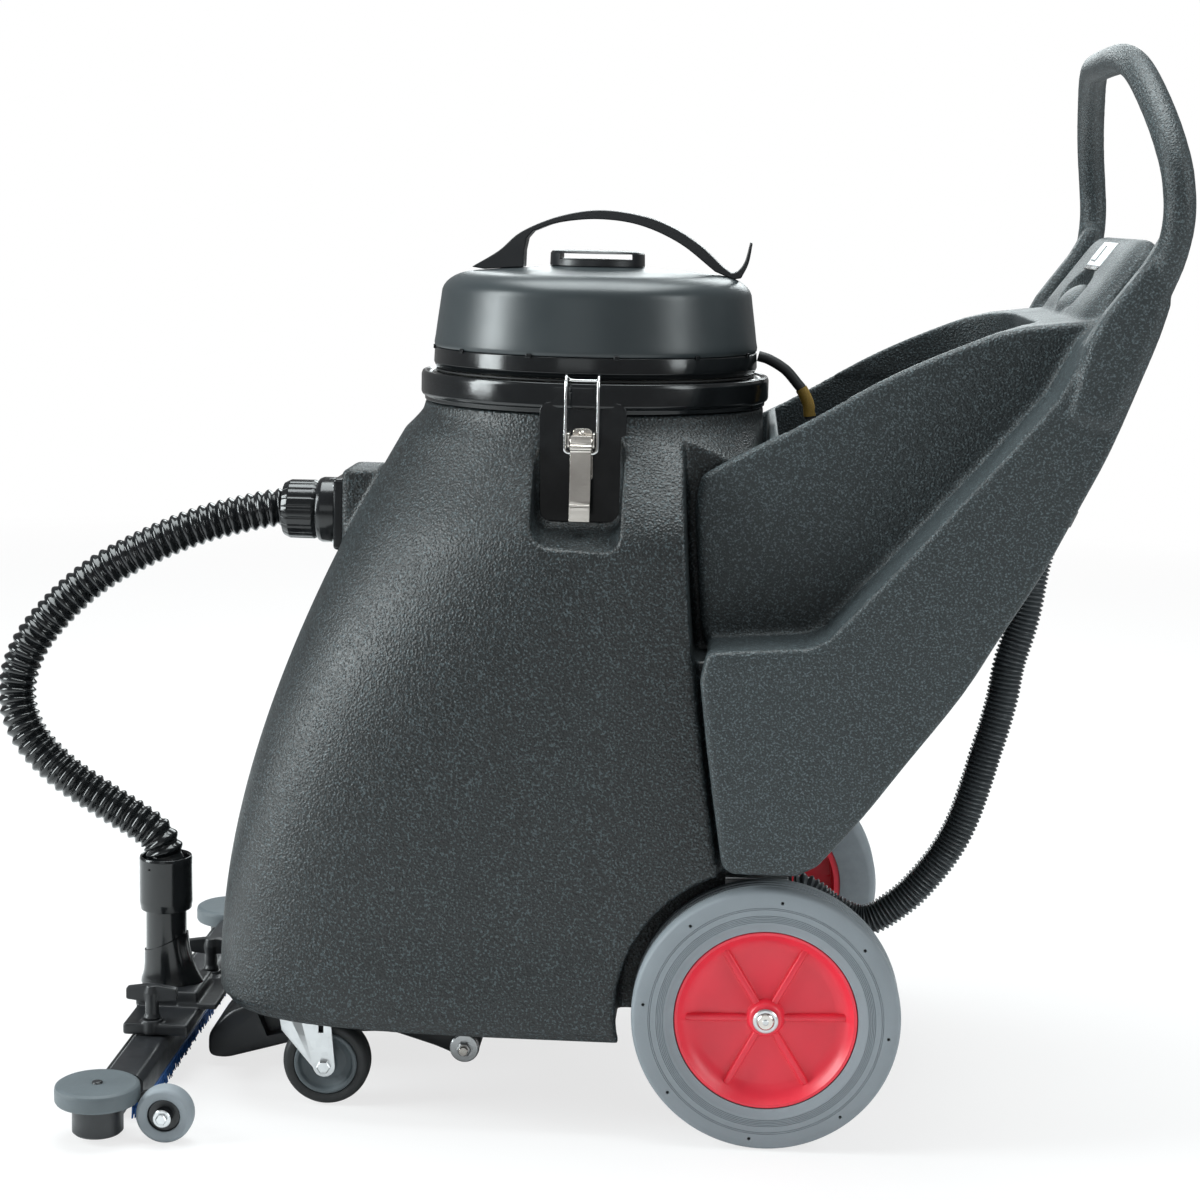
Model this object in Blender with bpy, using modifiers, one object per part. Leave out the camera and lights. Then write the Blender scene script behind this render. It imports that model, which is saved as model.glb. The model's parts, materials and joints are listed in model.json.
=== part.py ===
"""Wheeled wet recovery vacuum with a lifting squeegee head, a latched motor head and a rear tool caddy.

Metres, +Z up. Lengths along X are counted from the rear axle, with +X towards the handle; a parent empty
then carries everything forward by AXLE_X, so that the world origin is the middle of the footprint.
"""

import math

import bmesh
import bpy
from mathutils import Matrix, Vector

# Driving dimensions
AXLE_X = 0.222  # rear axle's distance behind the middle of the footprint
GAP = 0.0003  # clearance between pieces that touch
RUN = 0.0004  # radial clearance of a piece that turns on a pin

WHEEL_R = 0.127
WHEEL_WIDTH = 0.054
WHEEL_OUTER_Y = 0.260
HUB_R = 0.0865
AXLE_R = 0.008
RIB_COUNT = 6
WHEEL_SIDES = 28

NECK_X = -0.189  # centre of the neck and of the whole motor head
NECK_R = 0.170
NECK_Z = 0.684  # height of the neck's circular top
SHOULDER_Z = 0.560  # below this the tank has its full plan shape
TANK_BOTTOM = 0.0915
TANK_LIP_Z = 0.103
TANK_REAR_X = -0.016
TANK_HALF_WIDTH = 0.246
TANK_WIDEST_X = -0.085
TANK_WALL = 0.0065
TANK_SIDES = 32
NOSE_X = -0.549
NOSE_Z = 0.120
NOSE_SWEEP = 0.5315
NOSE_POWER = 1.826
FLOOR_Z = 0.111  # underside of the tank inside its skirt
ARCH_R = 0.1425
ARCH_INNER_Y = 0.190
INLET_X = -0.437  # face of the hose inlet on the nose
INLET_Z = 0.566

BAND_HALF_WIDTH = 0.262  # the caddy's wide lower band
BAND_INNER_Y = 0.236
PANEL_HALF_WIDTH = 0.180  # the narrower box above the band's ledge
PANEL_INNER_Y = 0.166
LEDGE_Z = 0.477
LEDGE_WALL = 0.009
WING_FOOT_Z = 0.270
WING_TOP_Z = 0.634
WING_GAP = 0.0045  # between the tank and the wings that lap it
SHOULDER_GAP = 0.0065  # the same in front of the narrower box
BIN_HALF_WIDTH = 0.171
BIN_FLOOR_Z = 0.290
BIN_REAR_X = 0.238
POCKET_HALF_WIDTH = 0.253  # hollows under the ledges, on either side of the bin
POCKET_FLOOR_Z = 0.310
ARM_Y = 0.250
ARM_R = 0.0143
FACE_FOOT = (0.271, 0.789)  # the console's sloping face, in side view
FACE_TOP = (0.3215, 0.857)
FACE_SLOPE = math.atan2(FACE_TOP[1] - FACE_FOOT[1], FACE_TOP[0] - FACE_FOOT[0])
SWITCH_SHARE = 0.79  # the switch's place between the foot and the top of the face
SWITCH_LENGTH = 0.088
ROCKER_Y = 0.020

CASTER_X = -0.455  # swivel axis
CASTER_Y = 0.178
CASTER_TRAIL = 0.027
CASTER_R = 0.043
CASTER_PIN_R = 0.004

LIFT_X = -0.301  # pivot of the squeegee arm
LIFT_Z = 0.033
HEAD_Y = -0.055  # centre line of the arm and of the suction pipe
BAR_X = -0.614
BAR_BOTTOM = 0.0195
BAR_TOP = 0.0475
BAR_HALF_LENGTH = 0.2555
END_Y = 0.297  # bumpers and small wheels
SMALL_WHEEL_R = 0.027
STUB_R = 0.0035
POST_R = 0.005
PIPE_X = BAR_X - 0.004

HOSE_R = 0.0195
DRAIN_Z = 0.183
DRAIN_R = 0.0165
DRAIN_FOOT = (0.272, 0.572)  # the last straight run of the drain hose, in side view
DRAIN_END = (0.290, 0.612)
TONGUE_LENGTH = 0.0052  # of the drain hose's clip, short of the caddy's back

LATCH_Y = 0.192
LATCH_PIVOT_Z = 0.662
LATCH_ANCHOR_Z = 0.650


# Scene, materials and joining

def clear_scene():
    for obj in list(bpy.data.objects):
        bpy.data.objects.remove(obj, do_unlink=True)


def new_collection(name):
    collection = bpy.data.collections.new(name)
    bpy.context.scene.collection.children.link(collection)
    return collection


def material(name, colour, roughness, metallic=0.0):
    made = bpy.data.materials.new(name)
    made.use_nodes = True
    shader = made.node_tree.nodes["Principled BSDF"]
    shader.inputs["Base Color"].default_value = (*colour, 1.0)
    shader.inputs["Roughness"].default_value = roughness
    shader.inputs["Metallic"].default_value = metallic
    return made


def place(obj, surface=None, location=(0, 0, 0), rotation=(0, 0, 0)):
    """Links the object as a part, under the axle empty, at a place counted from the axle."""
    PARTS.objects.link(obj)
    obj.parent = AXLE_FRAME
    obj.location = location
    obj.rotation_euler = rotation
    if surface:
        obj.data.materials.append(surface)
    return obj


def as_cutter(obj):
    """Turns a part into a hidden Boolean operand."""
    PARTS.objects.unlink(obj)
    CUTTERS.objects.link(obj)
    obj.hide_render = True
    obj.display_type = "WIRE"
    return obj


def boolean(obj, operand, operation="DIFFERENCE"):
    if operand.name not in CUTTERS.objects:
        as_cutter(operand)
    modifier = obj.modifiers.new(f"{operation.lower()}_{operand.name}", "BOOLEAN")
    modifier.operation = operation
    modifier.object = operand
    modifier.solver = "EXACT"
    return obj


def rounded(obj, width, segments=2, angle=30):
    modifier = obj.modifiers.new("rounded_edges", "BEVEL")
    modifier.width = width
    modifier.segments = segments
    modifier.limit_method = "ANGLE"
    modifier.angle_limit = math.radians(angle)
    return obj


def smooth(obj, angle=35):
    obj.data.shade_smooth()
    obj.data.set_sharp_from_angle(angle=math.radians(angle))
    return obj


# Shapes

def box(name, size, surface=None, location=(0, 0, 0), rotation=(0, 0, 0)):
    mesh = bpy.data.meshes.new(name)
    shape = bmesh.new()
    bmesh.ops.create_cube(shape, size=1.0)
    bmesh.ops.scale(shape, vec=size, verts=shape.verts)
    shape.to_mesh(mesh)
    shape.free()
    return place(bpy.data.objects.new(name, mesh), surface, location, rotation)


def cylinder(name, radius, length, surface=None, location=(0, 0, 0), axis="Z", sides=24):
    """A cylinder along an axis, centred on its location."""
    mesh = bpy.data.meshes.new(name)
    shape = bmesh.new()
    bmesh.ops.create_cone(shape, cap_ends=True, segments=sides, radius1=radius, radius2=radius, depth=length)
    turn = {"X": Matrix.Rotation(math.pi / 2, 3, "Y"), "Y": Matrix.Rotation(-math.pi / 2, 3, "X")}
    if axis in turn:
        bmesh.ops.rotate(shape, cent=(0, 0, 0), matrix=turn[axis], verts=shape.verts)
    shape.to_mesh(mesh)
    shape.free()
    return smooth(place(bpy.data.objects.new(name, mesh), surface, location))


def turned(name, profile, surface=None, location=(0, 0, 0), rotation=(0, 0, 0), sides=40):
    """A closed (radius, height) profile turned about its own Z axis; the profile runs down its outer side."""
    mesh = bpy.data.meshes.new(name)
    points = [(radius, 0.0, height) for radius, height in profile]
    on_axis = profile[0][0] == 0 and profile[-1][0] == 0
    last = len(points) if not on_axis else len(points) - 1
    edges = [(i, (i + 1) % len(points)) for i in range(last)]
    mesh.from_pydata(points, edges, [])
    obj = place(bpy.data.objects.new(name, mesh), surface, location, rotation)
    modifier = obj.modifiers.new("turn", "SCREW")
    modifier.steps = sides
    modifier.render_steps = sides
    modifier.use_merge_vertices = True
    modifier.merge_threshold = 0.00001
    modifier.use_smooth_shade = True
    return obj


def as_mesh(curve_object):
    """Replaces a curve object by its mesh, with the caps welded on."""
    graph = bpy.context.evaluated_depsgraph_get()
    graph.update()
    mesh = bpy.data.meshes.new_from_object(curve_object.evaluated_get(graph))
    shape = bmesh.new()
    shape.from_mesh(mesh)
    bmesh.ops.remove_doubles(shape, verts=shape.verts, dist=0.00001)
    bmesh.ops.recalc_face_normals(shape, faces=shape.faces)
    shape.to_mesh(mesh)
    shape.free()
    name = curve_object.name
    curve_object.name = name + "_curve"
    obj = bpy.data.objects.new(name, mesh)
    PARTS.objects.link(obj)
    obj.parent = curve_object.parent
    obj.location = curve_object.location
    obj.rotation_euler = curve_object.rotation_euler
    bpy.data.objects.remove(curve_object, do_unlink=True)
    return obj


def merge_flat(obj):
    """Joins the triangles of flat faces, so that a bevel on their rim has room."""
    shape = bmesh.new()
    shape.from_mesh(obj.data)
    bmesh.ops.dissolve_limit(shape, angle_limit=0.001, verts=shape.verts, edges=shape.edges)
    shape.to_mesh(obj.data)
    shape.free()
    return obj


def plate(name, outline, width, surface=None, location=(0, 0, 0), rotation=(math.pi / 2, 0, 0)):
    """A flat outline given a width. Upright by default: outline in XZ, width along Y."""
    curve = bpy.data.curves.new(name, "CURVE")
    curve.dimensions = "2D"
    curve.fill_mode = "BOTH"
    curve.extrude = width / 2
    spline = curve.splines.new("POLY")
    spline.points.add(len(outline) - 1)
    for point, (x, y) in zip(spline.points, outline):
        point.co = (x, y, 0, 1)
    spline.use_cyclic_u = True
    obj = merge_flat(as_mesh(place(bpy.data.objects.new(name, curve), None, location, rotation)))
    if surface:
        obj.data.materials.append(surface)
    return obj


def tube(name, points, radius, surface=None, resolution=3, location=(0, 0, 0)):
    """A round tube with filled ends through the points."""
    curve = bpy.data.curves.new(name, "CURVE")
    curve.dimensions = "3D"
    curve.bevel_depth = radius
    curve.bevel_resolution = resolution
    curve.use_fill_caps = True
    spline = curve.splines.new("POLY")
    spline.points.add(len(points) - 1)
    for point, position in zip(spline.points, points):
        point.co = (*position, 1)
    obj = as_mesh(place(bpy.data.objects.new(name, curve), None, location))
    if surface:
        obj.data.materials.append(surface)
    return smooth(obj, 60)


def smooth_path(keys, step):
    """Points about a step apart on the Catmull-Rom curve through the keys."""
    keys = [Vector(key) for key in keys]
    padded = [2 * keys[0] - keys[1]] + keys + [2 * keys[-1] - keys[-2]]
    path = []
    for a, b, c, d in zip(padded, padded[1:], padded[2:], padded[3:]):
        pieces = max(1, round((c - b).length / step))
        for i in range(pieces):
            t = i / pieces
            path.append(0.5 * (2 * b + (c - a) * t + (2 * a - 5 * b + 4 * c - d) * t**2
                               + (3 * b - a - 3 * c + d) * t**3))
    return path + [keys[-1]]


def loft(name, rings, surface=None):
    """A closed body through rings of equal count, capped at both ends."""
    mesh = bpy.data.meshes.new(name)
    shape = bmesh.new()
    rows = [[shape.verts.new(point) for point in ring] for ring in rings]
    count = len(rows[0])
    for low, high in zip(rows, rows[1:]):
        for i in range(count):
            j = (i + 1) % count
            shape.faces.new((low[i], low[j], high[j], high[i]))
    shape.faces.new(list(reversed(rows[0])))
    shape.faces.new(rows[-1])
    bmesh.ops.recalc_face_normals(shape, faces=shape.faces)
    shape.to_mesh(mesh)
    shape.free()
    return smooth(place(bpy.data.objects.new(name, mesh), surface), 40)


# Tank

def ease(t):
    t = min(max(t, 0.0), 1.0)
    return t * t * (3 - 2 * t)


def mix(a, b, share):
    return a + (b - a) * share


def power(value, exponent):
    """Signed power, for superellipses."""
    return math.copysign(abs(value) ** exponent, value)


def nose_x(z):
    """Foremost X of the tank at a height: a swept-back nose that meets the neck."""
    swept = NOSE_X + NOSE_SWEEP * max(z - NOSE_Z, 0.0) ** NOSE_POWER
    return mix(NECK_X - NECK_R, swept, ease((NECK_Z - z) / 0.03))


def tank_ring(z, inset=0.0, sides=TANK_SIDES):
    """The tank's plan outline at a height: a circle at the neck, a blunt-nosed box below the shoulder."""
    body = ease((NECK_Z - z) / (NECK_Z - SHOULDER_Z))
    blunt = mix(2.0, 4.8, ease((NECK_Z - z) / 0.5))
    boxy = mix(2.0, 8.0, body)
    half_width = mix(NECK_R, TANK_HALF_WIDTH, body) - inset
    widest = mix(NECK_X, TANK_WIDEST_X, body)
    ahead = widest - nose_x(z) - inset
    behind = mix(NECK_X + NECK_R, TANK_REAR_X, body) - widest - inset
    ring = []
    for i in range(sides):
        angle = 2 * math.pi * i / sides
        length, exponent = (behind, boxy) if math.cos(angle) > 0 else (ahead, blunt)
        x = widest + length * power(math.cos(angle), 2 / exponent)
        y = half_width * power(math.sin(angle), 2 / exponent)
        ring.append((x, y, z))
    return ring


def wing_edge(z):
    """X of the line where the caddy's wings end on the tank's sides."""
    share = (z - WING_FOOT_Z) / (WING_TOP_Z - WING_FOOT_Z)
    return -0.045 - 0.040 * share - 0.006 * math.sin(math.pi * share)


def tank_outside():
    lip = 0.005
    levels = [(TANK_BOTTOM, 2 * lip), (TANK_BOTTOM + lip, lip), (TANK_LIP_Z - 0.001, lip), (TANK_LIP_Z, 0.0)]
    heights = [0.12, 0.20, 0.29, 0.38, 0.46, 0.53, 0.58, 0.62, 0.65, NECK_Z]
    levels += [(z, 0.0) for z in heights]
    return [tank_ring(z, inset) for z, inset in levels]


def tank_cavity():
    """The water space: the outer form less the wall, kept clear of the arches and the wings."""
    heights = [FLOOR_Z + TANK_WALL, 0.20, 0.32, 0.44, 0.54, 0.60, 0.64, 0.665]
    rings = [tank_ring(z, TANK_WALL, 28) for z in heights]
    rings += [[(NECK_X + 0.152 * math.cos(a), 0.152 * math.sin(a), z) for a in
               [2 * math.pi * i / 28 for i in range(28)]] for z in (0.676, NECK_Z + 0.02)]
    cavity = loft("tank_cavity", rings)
    for side in (-1, 1):
        boolean(cavity, arch_cutter(f"cavity_arch_{side}", side, TANK_WALL))
        boolean(cavity, wing_cutter(f"cavity_wing_{side}", side, TANK_WALL))
        boolean(cavity, shoulder_cutter(f"cavity_shoulder_{side}", side, TANK_WALL))
        boolean(cavity, latch_recess(f"cavity_latch_{side}", side, TANK_WALL))
    return cavity


def arch_cutter(name, side, grow=0.0):
    inner = ARCH_INNER_Y - grow
    width = 0.30 - inner
    return cylinder(name, ARCH_R + grow, width, location=(0, side * (inner + width / 2), WHEEL_R),
                    axis="Y", sides=32)


def lap_cutter(name, side, inner, outer, foot, top, gap):
    """A block between two distances from the centre plane, behind the wings' front edge and above a foot."""
    heights = [mix(foot, top, i / 5) for i in range(6)]
    front = [(wing_edge(z) - gap, z) for z in heights]
    back = 0.05 + gap
    outline = front + [(back, top), (back, foot)]
    width = outer - inner
    return plate(name, outline, width, location=(0, side * (inner + width / 2), 0))


def wing_cutter(name, side, grow=0.0):
    """The space the caddy's lower wings take out of the tank's rear corners."""
    return lap_cutter(name, side, BAND_INNER_Y - WING_GAP - grow, 0.31, 0.20, 0.55, WING_GAP + grow)


def shoulder_cutter(name, side, grow=0.0):
    """The deeper space above the ledge, where the caddy is narrower."""
    foot = LEDGE_Z - LEDGE_WALL - WING_GAP - grow
    return lap_cutter(name, side, PANEL_INNER_Y - WING_GAP - grow, 0.30, foot, 0.70, SHOULDER_GAP + grow)


def latch_recess(name, side, grow=0.0):
    """A flat-backed pocket in the neck, open at the top, with a sloping foot."""
    half = 0.0425 + grow
    inner = 0.1665 - grow
    foot = 0.580 - grow
    outline = [(inner, foot), (inner + 0.10, foot - 0.080), (inner + 0.10, 0.72), (inner, 0.72)]
    cutter = plate(name, [(side * y, z) for y, z in outline], 2 * half, location=(NECK_X - 0.002, 0, 0),
                   rotation=(math.pi / 2, 0, math.pi / 2))
    return rounded(cutter, 0.006)


def make_tank():
    tank = loft("main_tank", tank_outside(), POLY_DARK)
    saddle = box("inlet_saddle", (0.060, 0.088, 0.085), location=(INLET_X + 0.0270, 0, INLET_Z + 0.004))
    boolean(tank, rounded(saddle, 0.006), "UNION")
    seat = 0.040
    boolean(tank, box("inlet_seat", (seat, 0.080, 0.077), location=(INLET_X + GAP - seat / 2, 0, INLET_Z)))
    skirt_depth = [tank_ring(z, 0.014, 28) for z in (0.05, FLOOR_Z)]
    boolean(tank, tank_cavity())
    boolean(tank, loft("underside_pocket", skirt_depth))
    for side in (-1, 1):
        boolean(tank, arch_cutter(f"arch_{side}", side))
        boolean(tank, wing_cutter(f"wing_{side}", side))
        boolean(tank, shoulder_cutter(f"shoulder_{side}", side))
        boolean(tank, latch_recess(f"latch_recess_{side}", side))
    arm_slot = box("arm_slot", (0.12, 0.104, 0.05), location=(NOSE_X + 0.02, HEAD_Y + 0.005, FLOOR_Z - 0.026))
    boolean(tank, arm_slot)


def make_collar():
    """Ring round the mouth of the tank, with a plate hanging into each latch recess."""
    profile = [(0.1742, 0.7140), (0.1745, 0.6905), (0.1712, 0.6895), (0.1710, NECK_Z + GAP),
               (0.1530, NECK_Z + GAP), (0.1530, 0.7140)]
    collar = turned("tank_collar", profile, GLOSS_BLACK, (NECK_X, 0, 0), sides=32)
    for side in (-1, 1):
        outline = [(-0.038, 0.600), (-0.028, 0.587), (0.028, 0.587), (0.038, 0.600), (0.038, 0.695),
                   (-0.038, 0.695)]
        hanger = plate(f"collar_hanger_{side}", outline, 0.0045, location=(NECK_X - 0.002, side * 0.1700, 0))
        boolean(collar, rounded(hanger, 0.001, 1), "UNION")
    ring = [(0.1600, 0.7158), (0.1600, 0.7140 + GAP), (0.1540, 0.7140 + GAP), (0.1540, 0.7158)]
    turned("collar_gasket", ring, RUBBER, (NECK_X, 0, 0), sides=32)


# Caddy

def back_line():
    """The caddy's sloping back in side view, from its foot up to the root of the handle."""
    return [(0.043, 0.278), (0.083, 0.326), (0.118, 0.374), (0.169, 0.444), (0.2005, 0.498), (0.236, 0.558),
            (0.266, 0.619), (0.291, 0.672), (0.3155, 0.737), (0.329, 0.775), (0.338, 0.808)]


def top_line():
    """The narrow box's upper edge, from the bridge forward and down to the wings."""
    return [(0.280, 0.784), (0.241, 0.780), (0.195, 0.771), (0.1055, 0.733), (0.0146, 0.681), (-0.045, 0.649),
            (-0.077, 0.630)]


def crease():
    """The ledge's outer edge in side view, from the root of the arms down and forward to the wings."""
    return [(0.300, 0.798), (0.266, 0.765), (0.241, 0.7165), (0.199, 0.6655), (0.113, 0.5675), (0.044, 0.4915),
            (0.028, 0.484), (-0.065, LEDGE_Z)]


def caddy_shell():
    """The narrow box, which stands inside the wide band below the crease."""
    inset = 0.008
    back = [(x - inset, z + inset / 2) for x, z in back_line()]
    front = [(wing_edge(z) + 0.0015, z) for z in (0.600, 0.54, 0.49)]
    foot = [(wing_edge(0.43) + inset, 0.43), (wing_edge(0.30) + inset, 0.285)]
    shell = plate("rear_caddy", back + top_line() + front + foot, 2 * PANEL_HALF_WIDTH, POLY_LIGHT)
    return rounded(shell, 0.009)


def raised_band():
    """The wide band below the crease: the lower sides, the back and the shoulders of the handle."""
    front = [(wing_edge(z), z) for z in (0.45, 0.36, 0.275)]
    outline = back_line() + crease() + front + [(-0.038, 0.268), (0.024, 0.268)]
    return rounded(plate("raised_band", outline, 2 * BAND_HALF_WIDTH), 0.006)


def handle_loop():
    """Arms and crossbar as one bent tube that starts inside the caddy's rear corners."""
    arm = [(0.322, ARM_Y, 0.810), (0.333, 0.261, 0.845), (0.337, 0.270, 0.880), (0.334, 0.268, 0.915),
           (0.329, 0.252, 0.942), (0.323, 0.222, 0.970), (0.316, 0.176, 1.000), (0.311, 0.138, 1.0170),
           (0.307, 0.095, 1.0255), (0.305, 0.045, 1.0268)]
    other = [(x, -y, z) for x, y, z in reversed(arm)]
    return tube("handle_loop", smooth_path(arm + other, 0.030), ARM_R, resolution=2)


def arm_root(side):
    """The broad foot of each handle arm, which tapers into the tube."""
    outline = [(0.250, 0.700), (0.290, 0.690), (0.3115, 0.740), (0.326, 0.780), (0.342, 0.840), (0.346, 0.868),
               (0.330, 0.872), (0.311, 0.838), (0.278, 0.793), (0.264, 0.765)]
    return rounded(plate(f"arm_root_{side}", outline, 0.030, location=(0, side * (ARM_Y + 0.003), 0)), 0.006)


def console():
    """The bulge between the arms, round at both ends, with the sloping face that carries the switch."""
    centre_x, centre_z = 0.318, 0.800
    outline = [(0.335, 0.760), (0.348, 0.800), (0.351, 0.828), (0.349, 0.848), (0.336, 0.860), FACE_TOP,
               FACE_FOOT, (0.264, 0.770)]
    ends = [(0.160, 0.50), (0.153, 0.76), (0.138, 0.92), (0.112, 1.0)]
    stations = [(-y, scale) for y, scale in ends] + [(y, scale) for y, scale in reversed(ends)]
    rings = [[(mix(centre_x, x, scale), y, mix(centre_z, z, scale)) for x, z in outline]
             for y, scale in stations]
    return loft("console_block", rings)


def on_console_face(above):
    """X and Z of the switch's middle, a distance above the sloping face."""
    x = mix(FACE_FOOT[0], FACE_TOP[0], SWITCH_SHARE)
    z = mix(FACE_FOOT[1], FACE_TOP[1], SWITCH_SHARE)
    return x - math.sin(FACE_SLOPE) * above, z + math.cos(FACE_SLOPE) * above


def bin_space():
    """The bin's hollow: open above, and carried on under the bridge to keep one wall thickness."""
    inner_back = [(0.046, BIN_FLOOR_Z), (0.190, 0.504), (0.256, 0.623), (0.288, 0.695), (0.280, 0.712)]
    front = [(-0.003, 0.712), (-0.003, BIN_FLOOR_Z)]
    return rounded(plate("bin_space", inner_back + front, 2 * BIN_HALF_WIDTH), 0.009, 1)


def bin_mouth():
    """The opening above the hollow, round at its rear corners."""
    front = -0.004
    bend = 0.085
    sides = 6
    arc = [math.pi / 2 * i / sides for i in range(sides + 1)]
    reach = BIN_HALF_WIDTH - 0.001
    corner = [(BIN_REAR_X - bend + bend * math.sin(a), reach - bend + bend * math.cos(a)) for a in arc]
    outline = [(front, reach)] + corner + [(x, -y) for x, y in reversed(corner)] + [(front, -reach)]
    return plate("bin_mouth", outline, 0.30, location=(0, 0, 0.70), rotation=(0, 0, 0))


def side_pockets():
    """The hollow of the wide band, under its ledges and open to the bin."""
    back = [(0.058, POCKET_FLOOR_Z), (0.187, 0.502), (0.252, 0.619), (0.282, 0.684)]
    under_crease = [(0.240, 0.700), (0.206, 0.6595), (0.120, 0.5615), (0.048, 0.4835), (0.030, 0.475),
                    (-0.0015, LEDGE_Z - LEDGE_WALL), (-0.0015, POCKET_FLOOR_Z)]
    return plate("side_pockets", back + under_crease, 2 * POCKET_HALF_WIDTH)


def tank_space(name, half_width, foot, top):
    """The room the tank's rear takes between the wings."""
    reach = 0.20
    return box(name, (reach, 2 * half_width, top - foot),
               location=(TANK_REAR_X + 0.003 - reach / 2, 0, (top + foot) / 2))


def make_caddy():
    caddy = caddy_shell()
    boolean(caddy, raised_band(), "UNION")
    boolean(caddy, console(), "UNION")
    for side in (-1, 1):
        boolean(caddy, arm_root(side), "UNION")
    boolean(caddy, handle_loop(), "UNION")
    boolean(caddy, bin_space())
    boolean(caddy, bin_mouth())
    boolean(caddy, side_pockets())
    boolean(caddy, tank_space("upper_tank_space", PANEL_INNER_Y, 0.20, 0.80))
    boolean(caddy, tank_space("lower_tank_space", BAND_INNER_Y, 0.21, LEDGE_Z - LEDGE_WALL))
    x, z = on_console_face(0)
    boolean(caddy, box("switch_pocket", (0.030, SWITCH_LENGTH + 0.002, 0.008), location=(x, 0, z),
                       rotation=(0, -FACE_SLOPE, 0)))


def make_switch():
    """Bezel and rocker sunk into the console's sloping face."""
    turn = (0, -FACE_SLOPE, 0)
    x, z = on_console_face(-0.0012)
    frame = box("switch_bezel", (0.0285, SWITCH_LENGTH, 0.003), PALE, (x, 0, z), turn)
    boolean(frame, box("bezel_window", (0.020, 0.032, 0.02), location=(x, ROCKER_Y, z), rotation=turn))
    x, z = on_console_face(0.0003)
    rocker = box("rocker_switch", (0.0170, 0.0285, 0.0032), GLOSS_BLACK, (x, ROCKER_Y, z), turn)
    rounded(rocker, 0.0005, 1)


# Running gear

def make_wheel(label, side):
    """Tyre and ribbed hub; the local Z axis is the axle, pointing outwards."""
    turn = (-side * math.pi / 2, 0, 0)
    centre = (0, side * (WHEEL_OUTER_Y - WHEEL_WIDTH / 2), WHEEL_R)
    half = WHEEL_WIDTH / 2
    tyre = [(0.1190, half), (WHEEL_R, half - 0.010), (WHEEL_R, -half + 0.010), (0.1190, -half),
            (HUB_R + GAP, -half + 0.004), (HUB_R + GAP, half - 0.004)]
    turned(f"rear_tyre_{label}", tyre, TYRE_GREY, centre, turn, sides=WHEEL_SIDES)
    hub = [(HUB_R, half - 0.006), (HUB_R, -half + 0.006), (0.0800, -half + 0.006), (0.0780, half - 0.020),
           (0.0260, half - 0.018), (0.0200, -half), (AXLE_R + RUN, -half), (AXLE_R + RUN, half - 0.002),
           (0.0180, half - 0.002), (0.0780, half - 0.013), (0.0800, half - 0.006)]
    body = turned(f"rear_hub_{label}", hub, HUB_RED, centre, turn, sides=WHEEL_SIDES)
    for i in range(RIB_COUNT):
        angle = math.radians(2) + 2 * math.pi * i / RIB_COUNT
        reach = 0.050
        rib = box(f"rib_{label}_{i}", (0.062, 0.006, 0.010),
                  location=(reach * math.cos(angle), centre[1] + side * (half - 0.0125),
                            WHEEL_R + reach * math.sin(angle)),
                  rotation=(math.pi / 2, -angle, 0))
        boolean(body, rib, "UNION")


def make_axle():
    cylinder("rear_axle", AXLE_R, 2 * WHEEL_OUTER_Y + 0.006, STEEL, (0, 0, WHEEL_R), "Y", 20)
    for label, side in SIDES:
        thickness = 0.003
        outline = [(-0.012, 0.108), (0.014, 0.108), (0.018, 0.140), (0.018, 0.250), (-0.042, 0.250),
                   (-0.042, 0.200)]
        y = side * (ARCH_INNER_Y + GAP + thickness / 2)
        bracket = plate(f"axle_bracket_{label}", outline, thickness, ZINC, (0, y, 0))
        flange = box(f"bracket_flange_{label}", (0.060, 0.010, thickness),
                     location=(-0.012, side * (ARCH_INNER_Y + 0.007), 0.2485))
        boolean(bracket, flange, "UNION")
        boolean(bracket, cylinder(f"axle_hole_{label}", AXLE_R + 0.0002, 0.02, location=(0, y, WHEEL_R),
                                  axis="Y", sides=24))


def make_caster(label, side):
    y = side * CASTER_Y
    thickness = 0.003
    base = box(f"caster_plate_{label}", (0.044, 0.038, thickness), ZINC,
               (CASTER_X + 0.002, y, FLOOR_Z - GAP - thickness / 2))
    rounded(base, 0.0008, 1)
    top = TANK_BOTTOM - 0.001
    wheel_x = CASTER_TRAIL
    race = [(0, FLOOR_Z - GAP - 0.0033), (0.020, FLOOR_Z - GAP - 0.0033), (0.0225, top - 0.001),
            (0.0225, top - 0.0025), (0, top - 0.0025)]
    fork = turned(f"caster_fork_{label}", race, ZINC, (CASTER_X, y, 0), sides=20)
    crown = box(f"fork_crown_{label}", (0.050, 0.043, 0.003), location=(CASTER_X + 0.009, y, top - 0.0015))
    boolean(fork, crown, "UNION")
    for cheek_side in (-1, 1):
        outline = [(-0.016, top), (0.034, top), (wheel_x + 0.011, CASTER_R - 0.004), (wheel_x + 0.006, 0.034),
                   (wheel_x - 0.006, 0.034), (wheel_x - 0.012, 0.042)]
        cheek = plate(f"fork_cheek_{label}_{cheek_side}", outline, 0.003,
                      location=(CASTER_X, y + cheek_side * 0.0200, 0))
        boolean(fork, cheek, "UNION")
    pin = cylinder(f"fork_pin_{label}", CASTER_PIN_R, 0.046, location=(CASTER_X + wheel_x, y, CASTER_R),
                   axis="Y", sides=16)
    boolean(fork, pin, "UNION")
    bore = CASTER_PIN_R + RUN
    tread = [(0.0405, 0.0150), (CASTER_R, 0.0115), (CASTER_R, -0.0115), (0.0405, -0.0150), (0.0300, -0.0150),
             (0.0120, -0.0125), (bore, -0.0175), (bore, 0.0175), (0.0120, 0.0125), (0.0300, 0.0150)]
    turned(f"caster_wheel_{label}", tread, RUBBER, (CASTER_X + wheel_x, y, CASTER_R), (math.pi / 2, 0, 0),
           sides=24)


# Latches

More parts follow.
